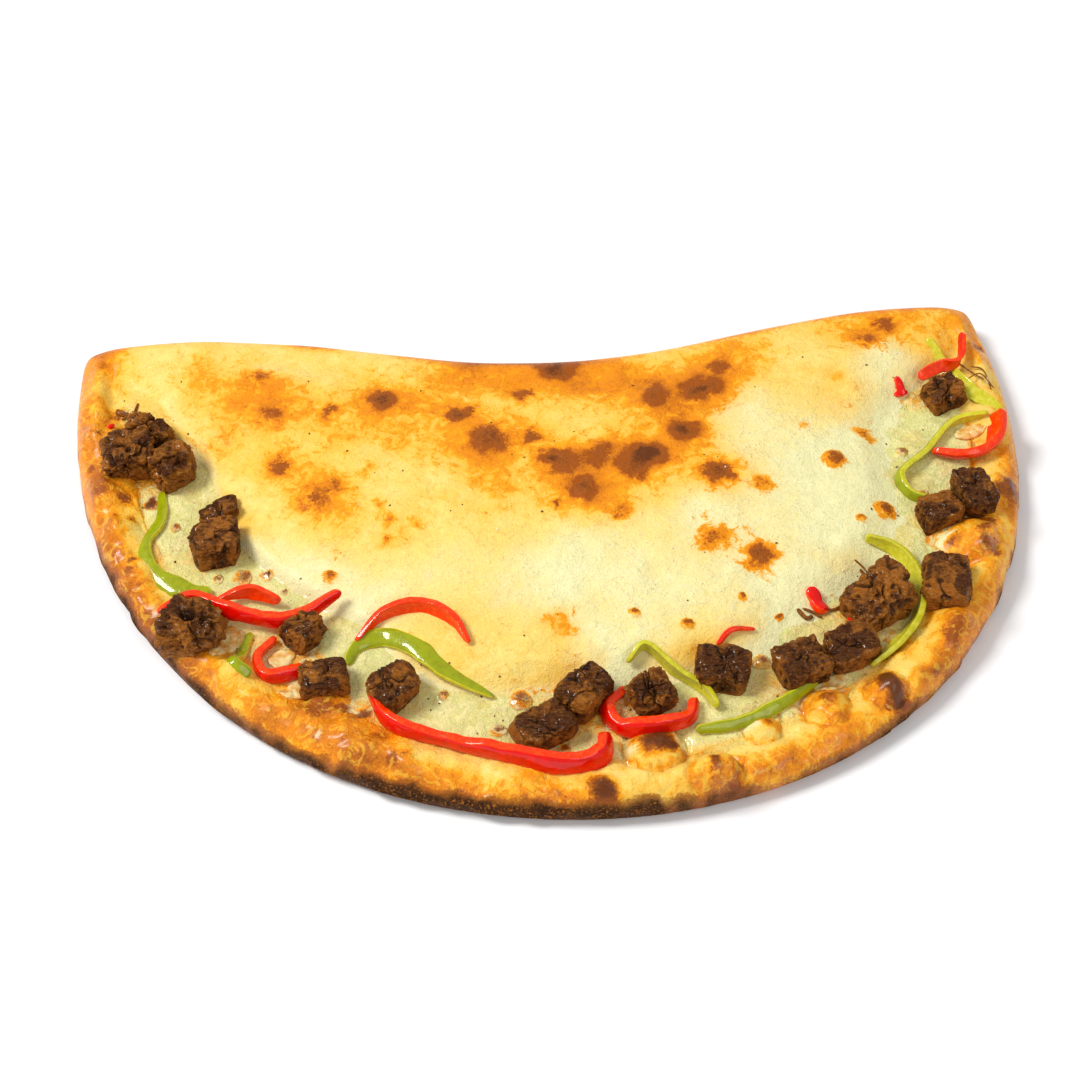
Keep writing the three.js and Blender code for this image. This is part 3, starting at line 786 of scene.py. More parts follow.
def beef_finish():
    """Roasted beef: stretched fibre noise between dark crust and brown torn meat, with a greasy shine, painted
    highlights on the fibres and painted shade in clefts, pits and fibre grooves.
    """
    r = Recipe("roasted_beef")
    fibres = r.grain(0.8, 4.0, stretch=(0.3, 1.0, 1.0), distortion=0.8)
    lumps = r.grain(3.5, 4.0)
    speck = r.grain(0.45, 2.0)
    torn = (r.attribute("torn") + (lumps - 0.5) * 0.5 + (speck - 0.5) * 0.3).between(0.0, 1.0)
    meat = r.blend(torn, paint("beef_dark"), paint("beef_brown"))
    # Fibre crests lighter: partly the meat's own tone, partly painted highlight.
    lit = r.blend(fibres.between(0.50, 0.70) * (torn * 0.6 + 0.2), meat, paint("beef_fibre_and_highlight"))
    lit = r.blend(speck.between(0.62, 0.72) * 0.8 * torn, lit, paint("beef_fat"))
    # Painted highlights along fine threads.
    threads = r.grain(0.4, 3.0, stretch=(0.25, 1.0, 1.0), distortion=1.5)
    lit = r.blend(threads.between(0.54, 0.68) * 0.4, lit, paint("beef_thread_highlight"))
    # Painted shade in the clefts, pits and torn-open hole.
    dark = r.blend(r.attribute("pit").between(0.1, 0.8) * 0.9, lit, paint("beef_cleft_shade"))
    # Painted shade in the grooves between the fibres.
    r.feed(Base_Color=r.blend(fibres.between(0.48, 0.28) * 0.5, dark, paint("beef_fibre_gap_shade")))
    r.bump(fibres * 0.8 + speck * 0.5 + threads * 0.7 + lumps * 0.4, 0.9)
    glint = r.grain(0.9, 2.0).between(0.52, 0.62)
    r.feed(Roughness=0.5 + lumps * 0.2, Coat_Weight=glint * 0.7, Coat_Roughness=0.14, Specular_IOR_Level=0.08)
    return r.material


def pepper_finish(kind):
    """Roasted pepper: glossy skin on one face of the band, paler wet flesh on the other and at its edges."""
    skin, flesh, edge = (paint(f"{kind}_{part}") for part in ("skin", "flesh", "edge"))
    r = Recipe(f"{kind}_pepper")
    soft = r.grain(3.0, 2.0)
    share = (r.attribute("skin") + (soft - 0.5) * 0.2).between(0.3, 0.6)
    toned = r.blend(soft.between(0.35, 0.75) * 0.6, skin, tuple(0.62 * v for v in skin[:3]) + (1.0,))
    inside = r.blend(r.grain(1.5, 3.0).between(0.4, 0.7), flesh, edge)
    r.feed(Base_Color=r.blend(share, inside, toned))
    r.bump(r.grain(2.4, 2.0) * 0.7 + r.grain(0.6, 1.0) * 0.25, 0.3)
    r.feed(Roughness=0.16 + (1 - share) * 0.14, Coat_Weight=0.6, Coat_Roughness=0.03, Subsurface_Weight=0.08)
    r.feed(Subsurface_Radius=(1.0, 0.35, 0.1), Subsurface_Scale=0.002, Specular_IOR_Level=0.1)
    return r.material


def onion_finish():
    """Softened onion: amber with faint bands, wet and letting light in."""
    r = Recipe("softened_onion")
    bands = r.grain(2.4, 3.0)
    r.feed(Base_Color=r.blend(bands.between(0.3, 0.7), paint("onion"), paint("onion_band")))
    r.bump(bands, 0.2)
    r.feed(Roughness=0.25, Coat_Weight=0.1, Coat_Roughness=0.1, Subsurface_Weight=0.3, Subsurface_Scale=0.004)
    return r.material


def plain_finish(name, first, second, roughness):
    """Small things: two tones of one colour broken up by noise."""
    r = Recipe(name)
    speck = r.grain(0.8, 2.0)
    r.feed(Base_Color=r.blend(speck.between(0.35, 0.65), first, second), Roughness=roughness)
    r.bump(r.grain(0.3, 1.0), 0.1)
    return r.material


# ---------------------------------------------------------------- dough and cheese


def browning(x, y):
    """Amounts of toast, scorch, char with painted shade at the rim's foot, milky cheese and rim at plan points of
    dough or cheese.
    """
    depth, share, a = inset(x, y), fold_share(x, y), turn(x, y)
    degrees = np.degrees(a)
    step = smoothstep(flap_inset(x, y), -4, 6)
    wx, wy = warped(x, y, 9, 3.5, 40)
    from_rim = rim_radius(a) - np.hypot(x, y) + 2.0 * noise(x, y, 0, 7, 42, 2)
    swung = degrees + 2.2 * noise(x, y, 0, 8, 41, 2)
    near_rim = 1 - smoothstep(depth, 24, 32)
    rim_toast = sum(s * bell(swung, a0, wa) * bell(from_rim, d0, wd) for a0, d0, wa, wd, s in RIM_TOAST)
    edge_toast = 0.30 * bell(from_rim, 0, 7) * (1 - share)
    rim_toast = 0.64 * np.minimum(rim_toast, 1.0) * near_rim + edge_toast
    golden = patches(wx, wy, GOLDEN)
    spots_near = patches(x, y, [(cx, cy, 1.6 * r, s) for cx, cy, r, s in SCORCHES])
    flap_toast = 0.52 * np.minimum(golden, 1.1) * step * (1 - 0.5 * np.minimum(spots_near, 1))
    fold_toast = 0.46 * share * (1 - smoothstep(depth, 2, 9)) * (0.7 + 0.8 * noise(x, y, 0, 20, 44))
    tx, ty = warped(x, y, 4.5, 2.1, 46)
    spots = domes(tx, ty, [(cx, cy, 1.75 * r, 1.2 * s) for cx, cy, r, s in SCORCHES], 1.5)
    rim_spots = domes(tx, ty, [(cx, cy, 1.5 * r, s) for cx, cy, r, s in from_polar(RIM_SPOTS)], 1.3)
    bx, by = mix(x, tx, 0.35), mix(y, ty, 0.35)
    caps = [(cx + 0.15 * r, cy + 0.25 * r, 0.9 * r, 1.1) for cx, cy, r in BUBBLES]
    dots = domes(bx, by, caps, 0.7) + 0.3 * outlines(bx, by, BUBBLES, 0.2)
    golden_bubbles = 0.5 * domes(bx, by, [(cx, cy, 1.4 * r, 1.0) for cx, cy, r in BUBBLES], 0.6)
    # The dark band at the rim's foot: char together with painted shade where the rim turns under, widest at the
    # front and narrower towards the right and the corners.
    char_and_shade_depth = 0.3 + sum(s * bell(degrees, a0, wa) for a0, wa, s in CHAR_AND_SHADE)
    char_and_shade_depth = char_and_shade_depth - 0.9 * smoothstep(degrees, 10, 20) - 1.5 * smoothstep(np.abs(degrees), 66, 88)
    ragged_depth = depth + 0.9 * noise(x, y, 0, 5, 45, 2)
    soot = (1 - smoothstep(ragged_depth, char_and_shade_depth - 1.0, char_and_shade_depth + 2.2)) * (1 - share)
    crease = bell(depth - rim_width(a) + 5 + 2 * noise(x, y, 0, 16, 47), 0, 0.8)
    crease = crease * smoothstep(noise(x, y, 0, 12, 48), -0.2, 0.4) * (1 - step) * (1 - share)
    # Oily pools beside the peppers, and brown juice round each cube of beef, partly painted contact shade.
    oil_and_contact_shade = 0.34 * patches(wx, wy, OILY) * (1 - step) + 0.5 * patches(wx, wy, beef_juice_and_shade())
    halo = 0.5 * np.minimum(patches(tx, ty, [(cx, cy, 1.9 * r, s) for cx, cy, r, s in SCORCHES]), 1) * step
    # A darker ring of toast round the foot of each steep blister: painted shade in the crease at its base.
    foot = outlines(tx, ty, [row[:3] for row in from_polar(BLISTERS) if row[4] < 1], 0.12)
    toast = 0.10 + rim_toast + flap_toast + fold_toast + 0.35 * crease + oil_and_contact_shade + halo
    toast = toast + 0.35 * foot + golden_bubbles
    milk = 0.95 * np.minimum(patches(wx, wy, MILKY), 1) * smoothstep(depth, 12, 20)
    milk = (1 - step) * smoothstep(depth, 15, 21) * 0.85 + milk
    scorch = spots * step + 1.45 * rim_spots * (1 - share) + dots
    return {"toast": toast, "scorch": scorch, "soot": soot, "milk": milk, "rim": (1 - step) * (1 - share)}


def beef_juice_and_shade():
    """Rows of x, y, radius and strength for the brown juice round each cube of beef, partly painted contact shade
    under it.
    """
    rows = []
    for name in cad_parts:
        if name.startswith("beef_"):
            low, high = (np.array(corner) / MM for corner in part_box(name))
            x, y = ((low + high) / 2)[:2] - HOME
            rows.append((x - 1.5, y - 1.5, (high - low)[:2].mean() / 2 + 2.0, 0.8))
    return rows


def crust_distances(rays):
    """Distances of the crust's rings along each ray, from the outer edge in to the hub."""
    edge, crest, foot = (reach(rays, inset, d) for d in (0.0, RIM_CREST, RIM_WIDTH + 2))
    flap = np.minimum(reach(rays, flap_inset, 0), foot - 12)
    stages = [
        (edge, crest, 15), (crest, foot, 16), (foot, flap + 6, 6), (flap + 6, flap - 6, 10),
        (flap - 6, 0 * flap + 0.8, 76)]
    rings = []
    for number, (outer, inner, count) in enumerate(stages):
        share = np.arange(count) / count
        share = share**1.8 if number == 0 else share
        rings += [mix(outer, inner, s) for s in share]
    return np.array(rings)


def build_crust():
    """The folded dough: one closed skin over rings of points around the hub, bottom then top."""
    rays = hub_rays(740)
    top = crust_distances(rays)
    wobble = 0.7 * noise(rays[:, 0] * 160, rays[:, 1] * 160, 0, 9, 51, 2)
    top = top + wobble * np.linspace(1, 0, len(top))[:, None] ** 6
    edge, flat = top[0], reach(rays, inset, UNDERSIDE_ROUND)
    below = [mix(0.8, flat, s) for s in (0, 0.4, 0.75, 1)] + [mix(flat, edge, s) for s in (0.4, 0.7, 0.9)]
    distances = np.vstack([np.array(below), top])
    plan = HUB + distances[..., None] * rays[None]
    x, y = plan[..., 0], plan[..., 1]
    equator = mix(RIM_EQUATOR, FOLD_EQUATOR, fold_share(x, y))
    across = 1 - np.clip(inset(x, y) / UNDERSIDE_ROUND, 0, 1)
    under = equator * (1 - np.sqrt(1 - across**2))
    above = crust_height(x, y)
    is_top = (np.arange(len(distances)) >= len(below))[:, None]
    z = np.where(is_top, above, under)
    layers = browning(x, y)
    # Beneath, the dough is charred, running out to the band of char and painted shade at the rim's foot.
    char = 0.35 + 0.5 * noise(x, y, 0, 14, 52, 2)
    layers["soot"] = np.where(is_top, layers["soot"], mix(char, layers["soot"][len(below)], across**0.6))
    for key, beneath in (("toast", 0.85), ("milk", 0), ("rim", 0)):
        layers[key] = np.where(is_top, layers[key], beneath)
    return skin_piece("crust", np.stack([x, y, z], axis=-1), layers)


def build_cheese():
    """Melted cheese in the open strip: loops across the strip, carried round it and drawn shut at the ends."""
    last = math.radians(CHEESE_END)
    angles = np.linspace(-last, last, 560)[:, None]
    outer = rim_radius(angles) - 13.0
    span = flap_span(angles)
    inner = rim_radius(angles) - (FLAP_INSET + 14) * span - 14.5 * (1 - span)
    over, beneath = np.linspace(0, 1, 54), np.linspace(1, 0, 8)[1:-1]
    across = np.concatenate([over, beneath])[None]
    radius = mix(inner, outer, across)
    x, y = radius * np.sin(angles), -radius * np.cos(angles)
    top = cheese_height(x, y)
    lid = np.minimum(top, crust_height(x, y) + 1.6)
    edge = 1 - (2 * across - 1) ** 8
    is_top = np.arange(across.shape[1])[None] < len(over)
    z = np.where(is_top, mix(lid - 2.0, lid, edge), 6.0)
    end = 1 - smoothstep(np.abs(angles), math.radians(CHEESE_END - 4), last)
    z = mix(8.0, z, end)
    return skin_piece("melted_cheese", np.stack([x, y, z], axis=-1), browning(x, y))


# ---------------------------------------------------------------- beef


# How torn each cube is, by its number, and how torn the others are.
TORN = {1: 1.7, 2: 1.5, 3: 1.7, 6: 2.2, 7: 1.1, 12: 1.5, 16: 1.5, 20: 1.3}
LITTLE_TORN = 0.8
# Cubes torn open from above: the radius of the hole.
HOLES = {6: 3.4}
# The power of the mean that joins a cube's sides: the higher, the sharper its edges.
EDGE_POWER = 80


def read_vectors(collection, key):
    """One vector of each face or vertex of a mesh, as rows."""
    values = np.empty(len(collection) * 3)
    collection.foreach_get(key, values)
    return values.reshape(-1, 3)


def face_planes(node):
    """Outward normals and offsets, in millimetres, of a solid's own sides about its box's centre.

    A few random planes that chip its corners come with them, and one below that keeps it in the cheese.
    """
    low, high = (np.array(corner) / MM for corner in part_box(node))
    centre = (low + high) / 2
    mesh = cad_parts[node].data
    normals = read_vectors(mesh.polygons, "normal")
    middles, corners = read_vectors(mesh.polygons, "center") / MM, read_vectors(mesh.vertices, "co") / MM
    offsets = np.einsum("ij,ij->i", normals, middles - centre)
    farthest = ((corners - centre) @ normals.T).max(axis=0)
    keep = (normals[:, 2] > -0.35) & (offsets > farthest - 0.2)
    packed = np.round(np.column_stack([normals[keep], offsets[keep] / 10]), 1)
    _, first = np.unique(packed, axis=0, return_index=True)
    generator = np.random.default_rng(int(10 * abs(centre).sum()))
    chips = unit(generator.normal(size=(5, 3)) * [1, 1, 0.5] + [0, 0, 0.35])
    chip_offsets = ((corners - centre) @ chips.T).max(axis=0) * generator.uniform(0.80, 0.92, 5)
    below = (high[2] - low[2]) / 2 + 1.5
    return (
        centre, np.vstack([normals[keep][first], chips, [0, 0, -1]]),
        np.concatenate([offsets[keep][first], chip_offsets, [below]]))


def build_beef(number):
    """One torn cube of beef.

    Along each direction the skin stands where the nearest side of the solid cuts it, the sides being
    joined by a high power mean. Wavy planes then part it into chunks that stand at unlike depths with
    clefts between them, small facets step it, and crumbs, fibre ridges and pits move the skin in and out.
    """
    centre, normals, offsets = face_planes(f"beef_{number}")
    torn = TORN.get(number, LITTLE_TORN)
    latitude = np.linspace(0.03, math.pi - 0.03, 104)[:, None]
    longitude = np.linspace(0, 2 * math.pi, 160, endpoint=False)[None]
    level = np.sin(latitude)
    way = np.stack([
        level * np.cos(longitude), level * np.sin(longitude), np.cos(latitude) + 0 * longitude], axis=-1)
    facing = np.clip(way @ normals.T / offsets, 0, None)
    share = facing**EDGE_POWER
    radius = share.sum(axis=-1) ** (-1 / EDGE_POWER)
    generator = np.random.default_rng(number)
    tones = np.where(normals[:, 2] > 0.6, -0.16, 0.24) + generator.uniform(-0.3, 0.3, len(offsets))
    tone = (share * tones).sum(axis=-1) * radius**EDGE_POWER
    x, y, z = (way[..., n] * radius for n in range(3))
    angle = number * 2.4
    along = x * math.cos(angle) + y * math.sin(angle)
    across = y * math.cos(angle) - x * math.sin(angle)
    seed = 100 + 10 * number
    bend = 1.6 * noise(x, y, z, 4.0, seed + 8, 2)
    cleft, chunk = np.zeros_like(x), np.zeros_like(x)
    for normal in unit(generator.normal(size=(4, 3)) * [1, 1, 0.4]):
        gap = way * radius[..., None] @ normal - generator.uniform(-0.55, 0.55) * offsets.min() + bend
        cleft = np.maximum(cleft, bell(gap, 0, 0.42))
        chunk += generator.uniform(-0.5, 0.5) * np.tanh(gap / 0.5)
    facets = np.exp(55 * (unit(way + 0.12 * bend[..., None]) @ unit(generator.normal(size=(20, 3))).T - 1))
    facets = facets / facets.sum(axis=-1, keepdims=True)
    steps, shades = facets @ generator.uniform(-0.6, 0.6, 20), facets @ generator.uniform(-0.35, 0.35, 20)
    cleft = cleft * smoothstep(noise(x, y, z, 4, seed + 6), -0.35, 0.25)
    lumps = 0.25 * torn * noise(x, y, z, 4.5, seed, 2)
    crumb = 1 - 2 * np.abs(noise(x, y, z, 2.6, seed + 4, 3))
    strands = 1 - 2 * np.abs(noise(along * 0.22, across, z, 1.2, seed + 3, 2))
    pit = smoothstep(noise(x, y, z, 2.1, seed + 7), 0.55, 0.8)
    upper = smoothstep(z, -4.5, -1.5)
    hole = smoothstep(HOLES.get(number, 0) - np.hypot(x + 0.5, y - 1), 0, 1.2) * (z > 0)
    rough = 0.5 * (torn - 0.3) * crumb + 0.3 * torn * strands * smoothstep(tone, -0.2, 0.3)
    move = lumps + rough + torn * (steps + 0.6 * chunk - cleft - 0.4 * pit)
    move = move * mix(0.35, 1.0, upper) - 0.55 * radius * hole
    rings = way * (radius + move)[..., None] + centre - np.array([HOME[0], HOME[1], 0])
    # Raised crumbs and chunks are painted lighter and sunken ones darker: painted highlight and shade on the
    # relief, over each face's own tone.
    brown = 0.3 * noise(x, y, z, 5.0, seed + 9) + 0.10 * torn + 0.2 + tone + 0.3 * crumb + 0.2 * chunk + shades
    # The pit layer paints shade into the clefts, pits and the torn-open hole.
    layers = {"torn": brown, "pit": np.maximum.reduce([0.7 * cleft, 0.6 * pit, hole])}
    return skin_piece(f"beef_cube_{number}", rings, layers)


# ---------------------------------------------------------------- peppers and onion


# Strips: width, thickness, lift above the bed, tilts in degrees, width shares, then the route as plan points.
RED_STRIPS = [
    (6.0, 3.2, 5.0, (85, 72, 78, 60), (0.35, 0.9, 1, 1, 0.9, 0.5),
     [(-137, -83.5), (-126, -78), (-112, -85), (-94, -89), (-77, -81)]),
    (5.0, 2.4, 3.5, (-95, -100, -95), (0.3, 1, 1, 0.6), [(-118, -78), (-108, -75.5), (-97, -80)]),
    (5.4, 3.0, 1.8, (85, 84, 75), (0.6, 1, 1, 1, 0.8), [(-99, -93), (-105, -101), (-102, -109), (-89, -107)]),
    (5.4, 2.6, 1.8, (-95, -105, -100), (0.3, 0.9, 1.1, 0.9, 0.35),
     [(-73, -97), (-64, -89), (-51, -87.5), (-41, -94), (-36, -104)]),
    (7.6, 3.2, 3.0, (78, 86, 86, 82, 80), (0.55, 0.85, 0.9, 0.95, 1.05, 1.15, 1.1),
     [(-69, -117), (-63, -130), (-46, -138), (-27, -145), (-9, -150), (4, -147), (6, -139)]),
    (6.4, 3.4, 2.2, (75, 80, 84, 75), (0.6, 1, 1, 1, 0.9, 0.6),
     [(13, -121), (6, -128), (10, -136), (24, -137), (33, -133), (35, -126)]),
    (2.8, 1.6, 0.8, (-40, -50), (0.6, 1, 0.5), [(44, -107), (49, -102), (57, -101)]),
    (4.6, 2.6, 1.2, (30, -10, -30), (0.8, 1, 0.9, 1.1, 0.8), [(76.5, -86), (78.5, -89), (79, -91), (82, -94)]),
    (4.4, 2.0, 5.0, (60, 75, 140, 150), (0.6, 0.9, 1, 1, 0.8), [(145, 20), (142, 9), (135, 7), (127, 2)]),
    (7.2, 3.2, 2.4, (-125, -120, -115), (0.9, 1, 1, 0.5), [(153, -14), (149, -27), (138, -32), (127, -29.5)]),
]
GREEN_STRIPS = [
    (7.0, 2.0, 0.8, (25, 20, 15, 20), (0.45, 0.6, 0.7, 1, 1.1),
     [(-138, -28), (-138, -40), (-143, -53), (-138, -65), (-121, -76)]),
    (4.6, 2.2, 0.4, (20, 20), (0.6, 1, 1), [(-107, -90), (-110, -98), (-112, -106), (-107, -110)]),
    (7.0, 1.7, 1.2, (35, 30, 20, 0, -15, -20), (0.4, 0.75, 1, 0.9, 1, 0.7, 0.25),
     [(-76, -105), (-72, -98), (-64, -96), (-53, -103), (-42, -113), (-29, -121)]),
    (5.2, 2.0, 2.6, (-85, -95, -95), (0.5, 0.9, 1, 0.9, 0.6),
     [(14, -113), (20, -108), (30, -116), (39, -123), (42, -130)]),
    (4.8, 2.2, 1.8, (50, 40, 60), (0.6, 0.9, 1, 0.9, 0.6), [(34, -138), (48, -136), (60, -131), (75, -121.5)]),
    (6.4, 2.4, 1.8, (-110, -115, -120), (0.5, 0.9, 1, 1, 0.9, 0.5),
     [(98, -67), (108, -70), (114, -83), (112, -97), (104, -108), (93, -117)]),
    (6.0, 2.0, 1, (-140, -150), (0.4, 0.8, 1.1, 0.9, 0.3), [(133, 20), (138, 10), (144, -1), (155, -11)]),
    (4.6, 2.2, 1.6, (80, 75, 70), (0.6, 1, 1, 1, 0.7),
     [(149, -14), (137, -15), (125, -28), (114, -39), (117, -47), (124, -50)]),
]
# Onion slices: x, y, long and short radius, turn in degrees.
ONION_SLICES = [
    (-116, -94, 7, 4.5, 60), (-97, -101, 4.5, 3.5, 20), (-92, -114.5, 6, 3, 5),
    (79, -122, 5.5, 3.5, 20), (95, -106, 5, 2.5, 25), (142, -20, 6, 3, 15),
]


def build_strip(name, spec, seed):
    width, thickness, lift, tilts, widths, route = spec
    rings, skin = swept_band(on_bed(route, lift), width, thickness, tilts, widths, seed=seed)
    return skin_piece(name, rings, {"skin": skin})


def build_onion(number):
    """A softened slice: an oval lens with a ragged outline, a hollow middle and a wavy face."""
    x0, y0, long, short, angle = ONION_SLICES[number - 1]
    theta = np.linspace(0, 2 * math.pi, 72, endpoint=False)[None]
    rho = np.concatenate([np.linspace(0.05, 1, 26), np.linspace(1, 0.05, 10)[1:]])[:, None]
    is_top = (np.arange(len(rho)) < 26)[:, None]
    ragged = 1 + 0.14 * noise(np.cos(theta) * 3, np.sin(theta) * 3, number, 1.6, 60, 2)
    u, v = long * rho * ragged * np.cos(theta), short * rho * ragged * np.sin(theta)
    turned = math.radians(angle)
    x = x0 + u * math.cos(turned) - v * math.sin(turned)
    y = y0 + u * math.sin(turned) + v * math.cos(turned)
    bed = bed_height(x, y)
    rounding = np.sqrt(np.clip(1 - rho**6, 0, 1))
    face = 0.7 + 0.35 * rho**2 + 0.35 * noise(x, y, 0, 4, 70 + number, 2)
    z = np.where(is_top, bed + 0.1 + face * rounding, bed + 0.1 - 0.8 * rounding)
    return skin_piece(f"onion_slice_{number}", np.stack([x, y, z], axis=-1), {})


def join_parts(name, parts, key):
    """Joins closed skins into one piece; each part is its points, its faces and a value per point."""
    points, faces, values, start = [], [], [], 0
    for part_points, part_faces, part_values in parts:
        points.append(part_points)
        values.append(part_values)
        faces += [[index + start for index in face] for face in part_faces]
        start += len(part_points)
    return add_piece(name, np.vstack(points), faces, {key: np.concatenate(values)})


# Small cut pieces of red pepper: width, lift, route.
RED_BITS = [
    (2.2, 2.0, [(88, -98), (91, -101), (93, -105)]),
    (2.6, 1.0, [(103, -84), (106, -85), (108, -88)]),
    (2.8, 0.8, [(119, 3), (120, 1), (121, -3)]), (2.0, 0.6, [(118, -3), (120, -2), (123, -1)]),
    (1.6, 1.0, [(-157, -1), (-155, 1)]),
]
# Shreds of beef: width, lift, route.
BEEF_SHREDS = [
    (1.5, 0.5, [(72, -93), (75, -96), (77, -95)]), (1.0, 0.9, [(74, -93), (77, -94), (80, -96)]),
    (0.9, 0.6, [(79, -92), (84, -93), (88, -91)]), (1.8, 0.4, [(-155, 9), (-152, 7), (-149, 6)]),
    (0.9, 0.5, [(-153, 5), (-149, 7), (-147, 10)]), (0.6, 3.0, [(-147, 6), (-143, 2), (-140, -3)]),
    (0.5, 2.5, [(141, 12), (146, 5), (150, 0)]), (0.5, 2.0, [(144, 2), (149, 3), (153, -3)]),
    (0.5, 2.0, [(147, 8), (150, 4), (152, -4)]), (1.2, 1.0, [(95, -78), (97, -83), (96, -88)]),
    (0.7, 1.2, [(90, -84), (93, -88), (94, -93)]), (0.7, 9.0, [(92, -80), (95, -83), (97, -88)]),
]


def small_bands(table, tilts, bow, seed):
    parts = []
    for number, (width, lift, route) in enumerate(table):
        rings, skin = swept_band(
            on_bed(route, lift), width, 0.7 * width, tilts, bow=bow, seed=seed + number, around=16, spacing=0.4)
        points, faces, spread = closed_rings(rings)
        parts.append((points, faces, spread(skin)))
    return parts


def scattered_points(count, generator, shallow):
    """Random plan points on the food, more of them in the open strip."""
    angle = generator.uniform(-1.75, 1.75, count * 3)
    in_strip = generator.random(count * 3) < 0.6
    strip, flap = generator.uniform(shallow, 50, count * 3), generator.uniform(20, 150, count * 3)
    radius = rim_radius(angle) - np.where(in_strip, strip, flap)
    x, y = radius * np.sin(angle), -radius * np.cos(angle)
    good = (inset(x, y) > shallow) & (radius > 0)
    return x[good][:count], y[good][:count]


def scatter(name, count, size, flatness, seed, shallow):
    """Many small bits as one piece: squashed eight-sided bits, turned at random and laid on the food."""
    generator = np.random.default_rng(seed)
    x, y = scattered_points(count, generator, shallow)
    count = len(x)
    corners = np.array([[1, 0, 0], [-1, 0, 0], [0, 1, 0], [0, -1, 0], [0, 0, 1], [0, 0, -1]], dtype=float)
    sides = np.array([[0, 2, 4], [2, 1, 4], [1, 3, 4], [3, 0, 4], [2, 0, 5], [1, 2, 5], [3, 1, 5], [0, 3, 5]])
    scale = size / MM / 2 * generator.uniform(0.5, 1.6, (count, 1, 1)) * np.array([1.0, 0.7, flatness])
    shape = corners[None] * scale * generator.uniform(0.7, 1.3, (count, 6, 1))
    spin = generator.uniform(0, 2 * math.pi, count)[:, None]
    px = shape[..., 0] * np.cos(spin) - shape[..., 1] * np.sin(spin)
    py = shape[..., 0] * np.sin(spin) + shape[..., 1] * np.cos(spin)
    pz = shape[..., 2] + 0.3 * px * np.sin(3 * spin)
    points = np.stack([x[:, None] + px, y[:, None] + py, bed_height(x, y)[:, None] + 0.15 + pz], axis=-1)
    faces = (np.arange(count)[:, None, None] * 6 + sides[None]).reshape(-1, 3)
    return add_piece(name, points.reshape(-1, 3), faces.tolist(), {})


# ---------------------------------------------------------------- operators


class CALZONE_OT_crust(bpy.types.Operator):
    """Build the folded dough"""

    bl_idname = "calzone.crust"
    bl_label = "Dough"

    def execute(self, context):
        finish_piece(build_crust(), dough_finish("baked_dough"), "dough", "dough")
        return {"FINISHED"}


class CALZONE_OT_cheese(bpy.types.Operator):
    """Build the melted cheese in the open strip"""

    bl_idname = "calzone.cheese"
    bl_label = "Cheese"

    def execute(self, context):
        finish_piece(build_cheese(), dough_finish("melted_cheese", wet=True), "cheese", "cheese")
        return {"FINISHED"}


class CALZONE_OT_beef(bpy.types.Operator):
    """Build the cubes of beef and the loose shreds"""

    bl_idname = "calzone.beef"
    bl_label = "Beef"

    def execute(self, context):
        material = beef_finish()
        cubes = [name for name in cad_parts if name.startswith("beef_")]
        for number in range(1, len(cubes) + 1):
            finish_piece(build_beef(number), material, "beef", f"beef_{number}")
        parts = [(p, f, 0.6 + 0 * v) for p, f, v in small_bands(BEEF_SHREDS, (0, 60), 0.0, 300)]
        finish_piece(join_parts("beef_shreds", parts, "torn"), material, "beef")
        return {"FINISHED"}


class CALZONE_OT_peppers(bpy.types.Operator):
    """Build the red and green pepper strips"""

    bl_idname = "calzone.peppers"
    bl_label = "Peppers"

    def execute(self, context):
        red, green = pepper_finish("red"), pepper_finish("green")
        for kind, table, material in (("red_pepper", RED_STRIPS, red), ("green_pepper", GREEN_STRIPS, green)):
            for number, spec in enumerate(table, 1):
                piece = build_strip(f"{kind}_strip_{number}", spec, 200 + 7 * number)
                finish_piece(piece, material, kind, f"{kind}_{number}")
        parts = small_bands(RED_BITS, (0, 20), 0.2, 320)
        finish_piece(join_parts("red_pepper_bits", parts, "skin"), red, "red_pepper")
        return {"FINISHED"}


class CALZONE_OT_onion(bpy.types.Operator):
    """Build the softened onion slices"""

    bl_idname = "calzone.onion"
    bl_label = "Onion"

    def execute(self, context):
        material = onion_finish()
        for number in range(1, len(ONION_SLICES) + 1):
            finish_piece(build_onion(number), material, "onion", f"onion_{number}")
        return {"FINISHED"}


class CALZONE_OT_sprinkles(bpy.types.Operator):
    """Scatter the grains of cheese and the herb flecks"""

    bl_idname = "calzone.sprinkles"
    bl_label = "Sprinkles"

    def execute(self, context):
        s = context.scene.calzone_sizes
        grains = scatter("cheese_grains", s.grain_count, s.grain_size, 0.6, 7, 8)
        grated = plain_finish("grated_cheese", paint("grated"), paint("grated_shade"), 0.45)
        finish_piece(grains, grated, "cheese")
        flecks = scatter("herb_flecks", s.fleck_count, s.fleck_size, 0.25, 8, 16)
        finish_piece(flecks, plain_finish("dried_herb", paint("herb"), paint("herb_light"), 0.6), "dough")
        return {"FINISHED"}


class CALZONE_OT_stage(bpy.types.Operator):
    """Set the pale floor, the soft lights and the camera"""

    bl_idname = "calzone.stage"
    bl_label = "Stage"

    def execute(self, context):
        scene = context.scene
        build_floor()
        build_lights(scene)
        build_camera(scene)
        return {"FINISHED"}


# ---------------------------------------------------------------- stage


def build_floor():
    half = FLOOR_SIZE / 2
    mesh = bpy.data.meshes.new("floor")
    corners = [(-half, -half, 0), (half, -half, 0), (half, half, 0), (-half, half, 0)]
    mesh.from_pydata(corners, [], [(0, 1, 2, 3)])
    floor = bpy.data.objects.new("floor", mesh)
    bpy.context.scene.collection.objects.link(floor)
    r = Recipe("pale_floor")
    r.feed(Base_Color=(FLOOR_GREY, FLOOR_GREY, FLOOR_GREY, 1.0), Roughness=0.9, Specular_IOR_Level=0.1)
    mesh.materials.append(r.material)


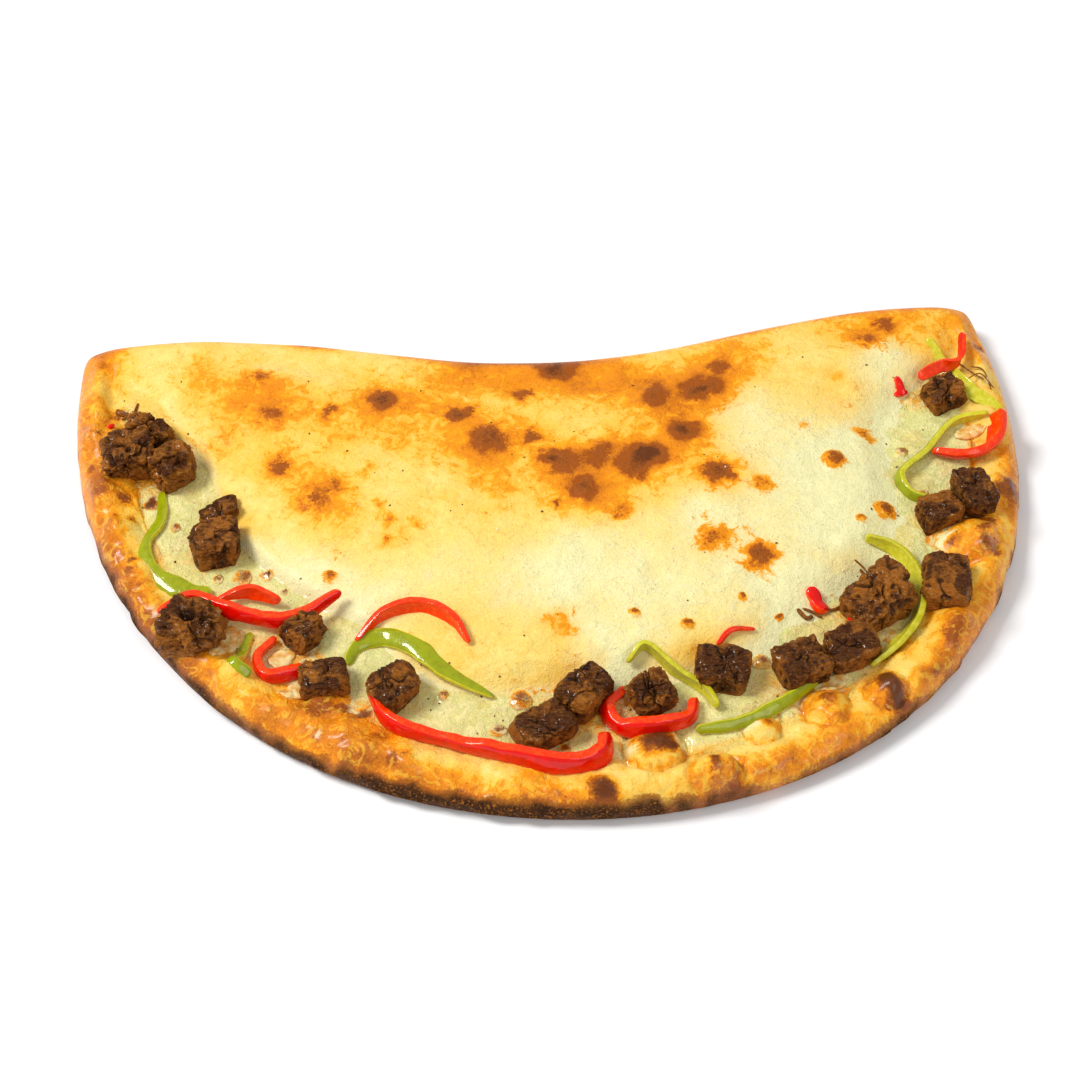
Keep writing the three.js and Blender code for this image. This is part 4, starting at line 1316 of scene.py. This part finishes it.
def area_light(name, place, size, power):
    data = bpy.data.lights.new(name, "AREA")
    data.shape, data.size, data.energy = "DISK", size, power
    light = bpy.data.objects.new(name, data)
    light.location = place
    light.rotation_euler = (Vector(LIT_POINT) - Vector(place)).to_track_quat("-Z", "Y").to_euler()
    bpy.context.scene.collection.objects.link(light)


def build_lights(scene):
    world = bpy.data.worlds.new("soft_room")
    world.use_nodes = True
    background = world.node_tree.nodes["Background"]
    background.inputs["Color"].default_value = (1.0, 1.0, 1.0, 1.0)
    background.inputs["Strength"].default_value = ROOM_LIGHT
    scene.world = world
    scene.view_settings.view_transform = "Standard"
    for light in LIGHTS:
        area_light(*light)


def build_camera(scene):
    """Looks down at the food from the front, a little from the left."""
    elevation, azimuth = math.radians(CAMERA_ELEVATION), math.radians(CAMERA_AZIMUTH)
    back = Vector((
        math.sin(azimuth) * math.cos(elevation), -math.cos(azimuth) * math.cos(elevation), math.sin(elevation)))
    low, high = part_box("dough")
    target = Vector(((low[0] + high[0]) / 2 + CAMERA_AIM[0], (low[1] + high[1]) / 2 + CAMERA_AIM[1], 0.0))
    camera = bpy.data.objects.new("camera", bpy.data.cameras.new("camera"))
    camera.data.angle = math.radians(CAMERA_ANGLE)
    camera.location = target + back * scene.calzone_sizes.camera_distance
    camera.rotation_euler = (-back).to_track_quat("-Z", "Y").to_euler()
    scene.collection.objects.link(camera)
    scene.camera = camera


# ---------------------------------------------------------------- panel and registration


STEPS = (
    CALZONE_OT_crust, CALZONE_OT_cheese, CALZONE_OT_beef, CALZONE_OT_peppers,
    CALZONE_OT_onion, CALZONE_OT_sprinkles, CALZONE_OT_stage,
)


class CALZONE_PT_panel(bpy.types.Panel):
    bl_label = "Calzone"
    bl_idname = "CALZONE_PT_panel"
    bl_space_type = "VIEW_3D"
    bl_region_type = "UI"
    bl_category = "Calzone"

    def draw(self, context):
        for group in (context.scene.calzone_sizes, context.scene.calzone_colours):
            for key in group.__annotations__:
                self.layout.prop(group, key)
        for step in STEPS:
            self.layout.operator(step.bl_idname)


CLASSES = (CalzoneSizes, CalzoneColours) + STEPS + (CALZONE_PT_panel,)


def register():
    for cls in CLASSES:
        bpy.utils.register_class(cls)
    bpy.types.Scene.calzone_sizes = bpy.props.PointerProperty(type=CalzoneSizes)
    bpy.types.Scene.calzone_colours = bpy.props.PointerProperty(type=CalzoneColours)


def unregister():
    del bpy.types.Scene.calzone_colours
    del bpy.types.Scene.calzone_sizes
    for cls in reversed(CLASSES):
        bpy.utils.unregister_class(cls)


def main():
    register()
    for step in STEPS:
        group, name = step.bl_idname.split(".")
        getattr(getattr(bpy.ops, group), name)()


if __name__ == "__main__":
    main()
